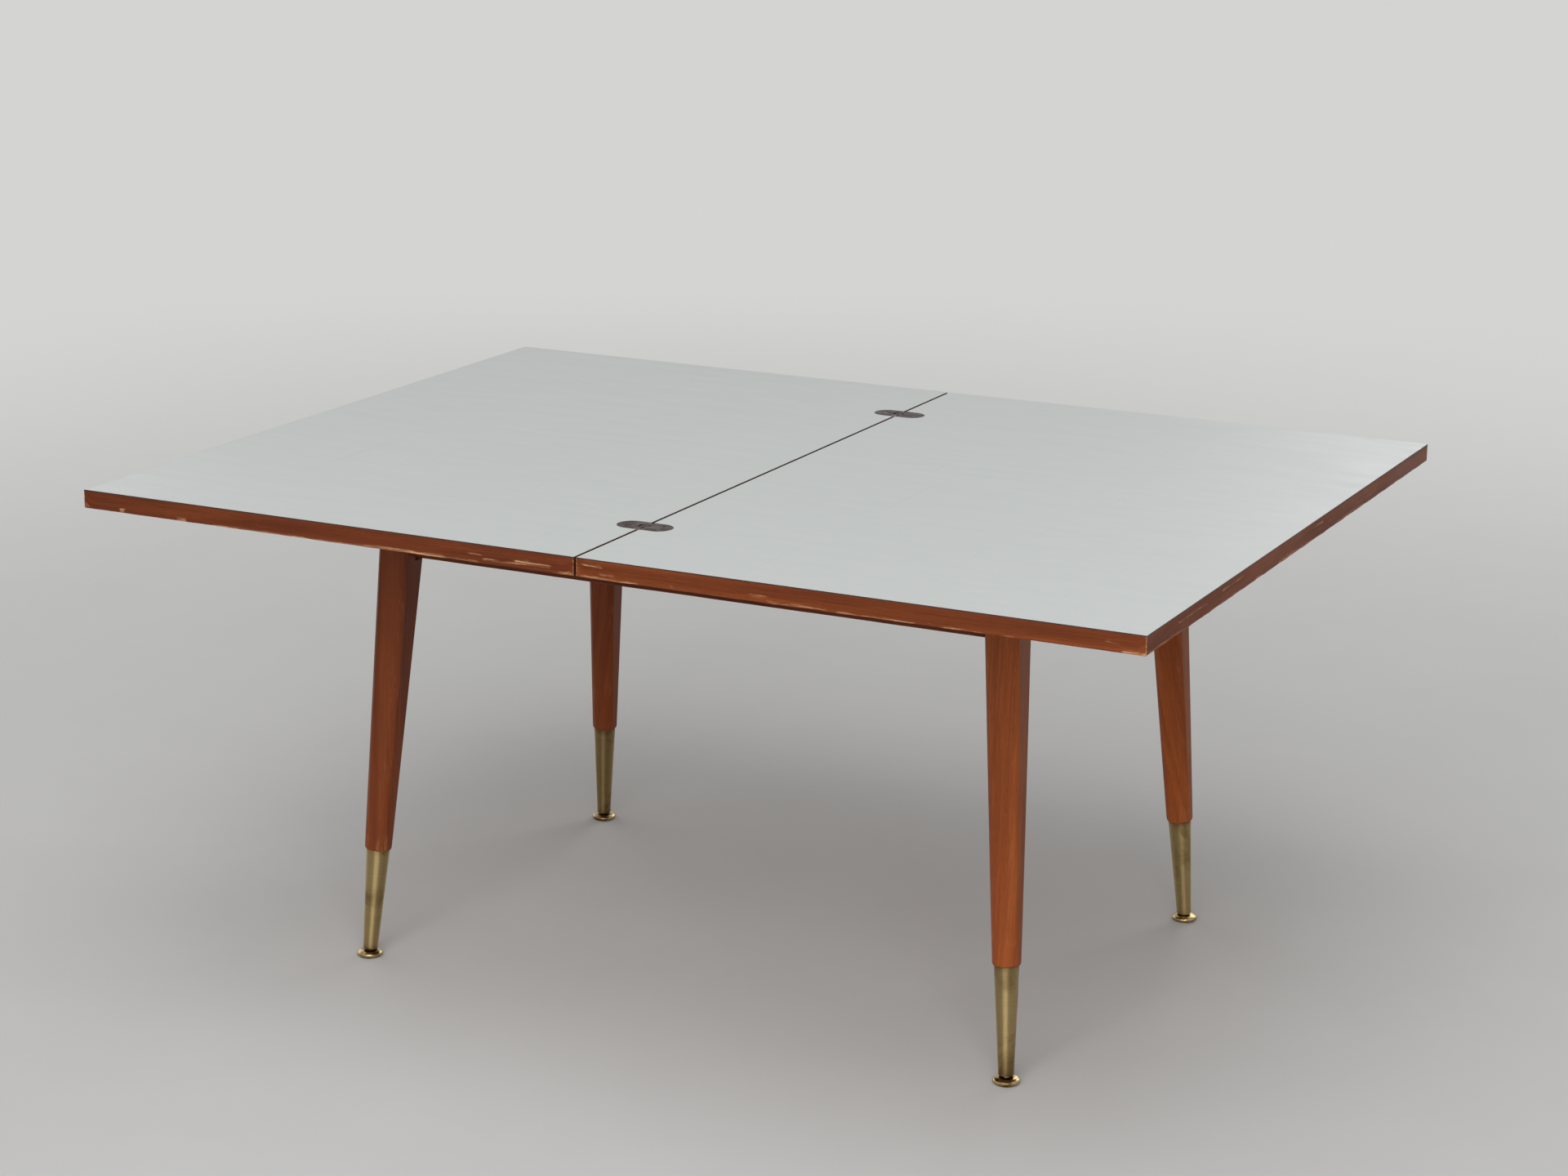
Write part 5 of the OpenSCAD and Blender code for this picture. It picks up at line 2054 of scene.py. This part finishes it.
@dataclass
class Viewpoint:
    """Camera fitted to the photograph's frame.

    Args:
        frame_width: width of the photograph, in pixels.
        focal_pixels: distance of the camera from the picture, in pixels.
        place: where the camera stands, in metres.
        yaw, pitch, roll: its three angles, in radians.
        sensor: width of the sensor, in millimetres.
        near, far: what it sees, in metres.
    """

    frame_width: float = 1920.0
    focal_pixels: float = 4132.6
    place: Point = (1.6087, -3.2652, 1.3947)
    yaw: float = -0.45664
    pitch: float = 0.26132
    roll: float = 0.01081
    sensor: float = 36.0
    near: float = 0.05
    far: float = 100.0

    def build(self) -> None:
        """Makes the camera from its three angles and makes it the scene's own."""
        forward = Vector(
            (
                math.sin(self.yaw) * math.cos(self.pitch),
                math.cos(self.yaw) * math.cos(self.pitch),
                -math.sin(self.pitch),
            )
        )
        level = Vector((math.cos(self.yaw), -math.sin(self.yaw), 0.0))
        upward = level.cross(forward)
        cos, sin = math.cos(self.roll), math.sin(self.roll)
        right, top = cos * level + sin * upward, cos * upward - sin * level
        data = bpy.data.cameras.new("camera")
        data.sensor_fit = "HORIZONTAL"
        data.sensor_width = self.sensor
        data.lens = self.focal_pixels * self.sensor / self.frame_width
        data.clip_start = self.near
        data.clip_end = self.far
        made = bpy.data.objects.new("camera", data)
        bpy.context.scene.collection.objects.link(made)
        turn = Matrix((right, top, -forward)).transposed().to_4x4()
        made.matrix_world = Matrix.Translation(Vector(self.place)) @ turn
        bpy.context.scene.camera = made


@dataclass(frozen=True)
class Lamp:
    """Square soft lamp that looks at the table.

    Args:
        name: name of the lamp.
        place: where it hangs, in metres.
        size: side of its face, in metres.
        power: its power in watts.
        aim: what it looks at, in metres.
    """

    name: str
    place: Point
    size: float
    power: float
    aim: Point = (0.0, 0.0, 0.3)

    def build(self) -> None:
        """Hangs the lamp."""
        data = bpy.data.lights.new(self.name, "AREA")
        data.shape = "SQUARE"
        data.size = self.size
        data.energy = self.power
        made = bpy.data.objects.new(self.name, data)
        bpy.context.scene.collection.objects.link(made)
        way = Vector(self.aim) - Vector(self.place)
        made.location = self.place
        made.rotation_euler = way.to_track_quat("-Z", "Y").to_euler()


@dataclass
class Studio:
    """Plain pale floor, soft lamps and a surround that is brighter towards the front.

    Args:
        floor_tone: tone of the floor under the table.
        ground: tone that the far floor and the surround show.
        fade: distances between which the floor fades into the surround, in metres.
        floor_half: half the floor's side, in metres.
        surround: light from the darkest and from the brightest side.
        bright_way: where the bright side lies.
        bright_span: how far a way points to the bright side, at the darkest and at the brightest.
        lamps: the lamps.
    """

    floor_tone: Colour = (0.62, 0.62, 0.61)
    ground: Colour = (0.66, 0.66, 0.65)
    fade: tuple[float, float] = (1.2, 4.5)
    floor_half: float = 40.0
    surround: tuple[float, float] = (0.05, 0.5)
    bright_way: Point = (-0.1, -0.8, 0.6)
    bright_span: tuple[float, float] = (-0.5, 0.9)
    lamps: tuple[Lamp, ...] = (
        Lamp("key_lamp", (1.1, -3.5, 2.0), 3.2, 84.0),
        Lamp("top_lamp", (0.4, -0.9, 3.1), 2.4, 26.0),
        Lamp("back_lamp", (0.6, 3.9, 2.2), 2.8, 40.0),
        Lamp("side_lamp", (-3.4, 1.2, 1.5), 3.0, 24.0),
    )

    @staticmethod
    def seen(tree: bpy.types.NodeTree) -> Socket:
        """1 for rays that show the background, straight, by gloss or through glass, and 0 for light.

        Args:
            tree: the node tree that it is for.

        Returns:
            The socket that says so.
        """
        path = tree.nodes.new("ShaderNodeLightPath")
        total = path.outputs["Is Camera Ray"]
        for ray in ("Is Glossy Ray", "Is Transmission Ray"):
            either = tree.nodes.new("ShaderNodeMath")
            either.operation = "MAXIMUM"
            tree.links.new(total, either.inputs[0])
            tree.links.new(path.outputs[ray], either.inputs[1])
            total = either.outputs[0]
        return total

    def floor(self) -> None:
        """Level floor whose far part fades into the surround, and which is clear from underneath."""
        g = Graph("studio_floor")
        flat = g.place(Grain.ALONG_X)
        far = g.node("VectorMath", {0: flat}, operation="LENGTH").outputs["Value"]
        mottle = g.noise(flat, 5.0, 4.0, 0.6)
        darker = tuple(0.85 * c for c in self.floor_tone)
        g.surface(
            Base_Color=g.mix(g.rise(mottle, 0.3, 0.7, 0.0, 0.12), self.floor_tone, darker),
            Roughness=0.85,
            Normal=g.bump(g.noise(flat, 240.0, 3.0), 0.0004, 0.3),
            Specular_IOR_Level=0.2,
        )
        glow = g.node("Emission", {"Color": self.ground, "Strength": 1.0})
        share = g.math("MULTIPLY", g.rise(far, *self.fade), self.seen(g.tree))
        blend = g.node("MixShader", {0: share, 1: g.shader.outputs[0], 2: glow.outputs[0]})
        below = g.node("NewGeometry", {}).outputs["Backfacing"]
        under = g.node("MixShader", {0: below, 1: blend.outputs[0]})
        g.put(under.inputs[2], g.node("BsdfTransparent", {}).outputs[0])
        g.put(g.out.inputs["Surface"], under.outputs[0])
        h = self.floor_half
        mesh = bpy.data.meshes.new("floor")
        mesh.from_pydata([(-h, -h, 0), (h, -h, 0), (h, h, 0), (-h, h, 0)], [], [(0, 1, 2, 3)])
        mesh.materials.append(g.material)
        made = bpy.data.objects.new("floor", mesh)
        bpy.context.scene.collection.objects.link(made)

    def world(self) -> None:
        """Surround that lights the table from the bright side and shows one plain tone."""
        world = bpy.data.worlds.new("surround")
        bpy.context.scene.world = world
        world.use_nodes = True
        tree = world.node_tree
        tree.nodes.clear()
        way = tree.nodes.new("ShaderNodeTexCoord")
        toward = tree.nodes.new("ShaderNodeVectorMath")
        toward.operation = "DOT_PRODUCT"
        toward.inputs[1].default_value = self.bright_way
        level = tree.nodes.new("ShaderNodeMapRange")
        for number, value in enumerate((*self.bright_span, *self.surround), 1):
            level.inputs[number].default_value = value
        shown = tree.nodes.new("ShaderNodeMix")
        shown.data_type = "RGBA"
        shown.inputs[7].default_value = (*self.ground, 1.0)
        back = tree.nodes.new("ShaderNodeBackground")
        out = tree.nodes.new("ShaderNodeOutputWorld")
        for start, end in (
            (way.outputs["Generated"], toward.inputs[0]),
            (toward.outputs["Value"], level.inputs[0]),
            (self.seen(tree), shown.inputs[0]),
            (level.outputs[0], shown.inputs[6]),
            (shown.outputs[2], back.inputs[0]),
            (back.outputs[0], out.inputs[0]),
        ):
            tree.links.new(start, end)

    def build(self) -> None:
        """Sets the view, the surround, the lamps and the floor."""
        bpy.context.scene.view_settings.view_transform = "Standard"
        self.world()
        for lamp in self.lamps:
            lamp.build()
        self.floor()


def main() -> None:
    """Builds camera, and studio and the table's sub-assemblies in order."""
    logging.basicConfig(level=logging.INFO, format="%(name)s: %(message)s")
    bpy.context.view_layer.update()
    Viewpoint().build()
    Studio().build()
    shop = Workshop()
    for side in Side:
        Leaf(side).build(shop)
    Hinges().build(shop)
    Swivel().build(shop)
    BaseFrame().build(shop)
    for corner in Corner:
        Leg(corner).build(shop)
    LOG.info("%d new pieces", shop.made)


if __name__ == "__main__":
    main()
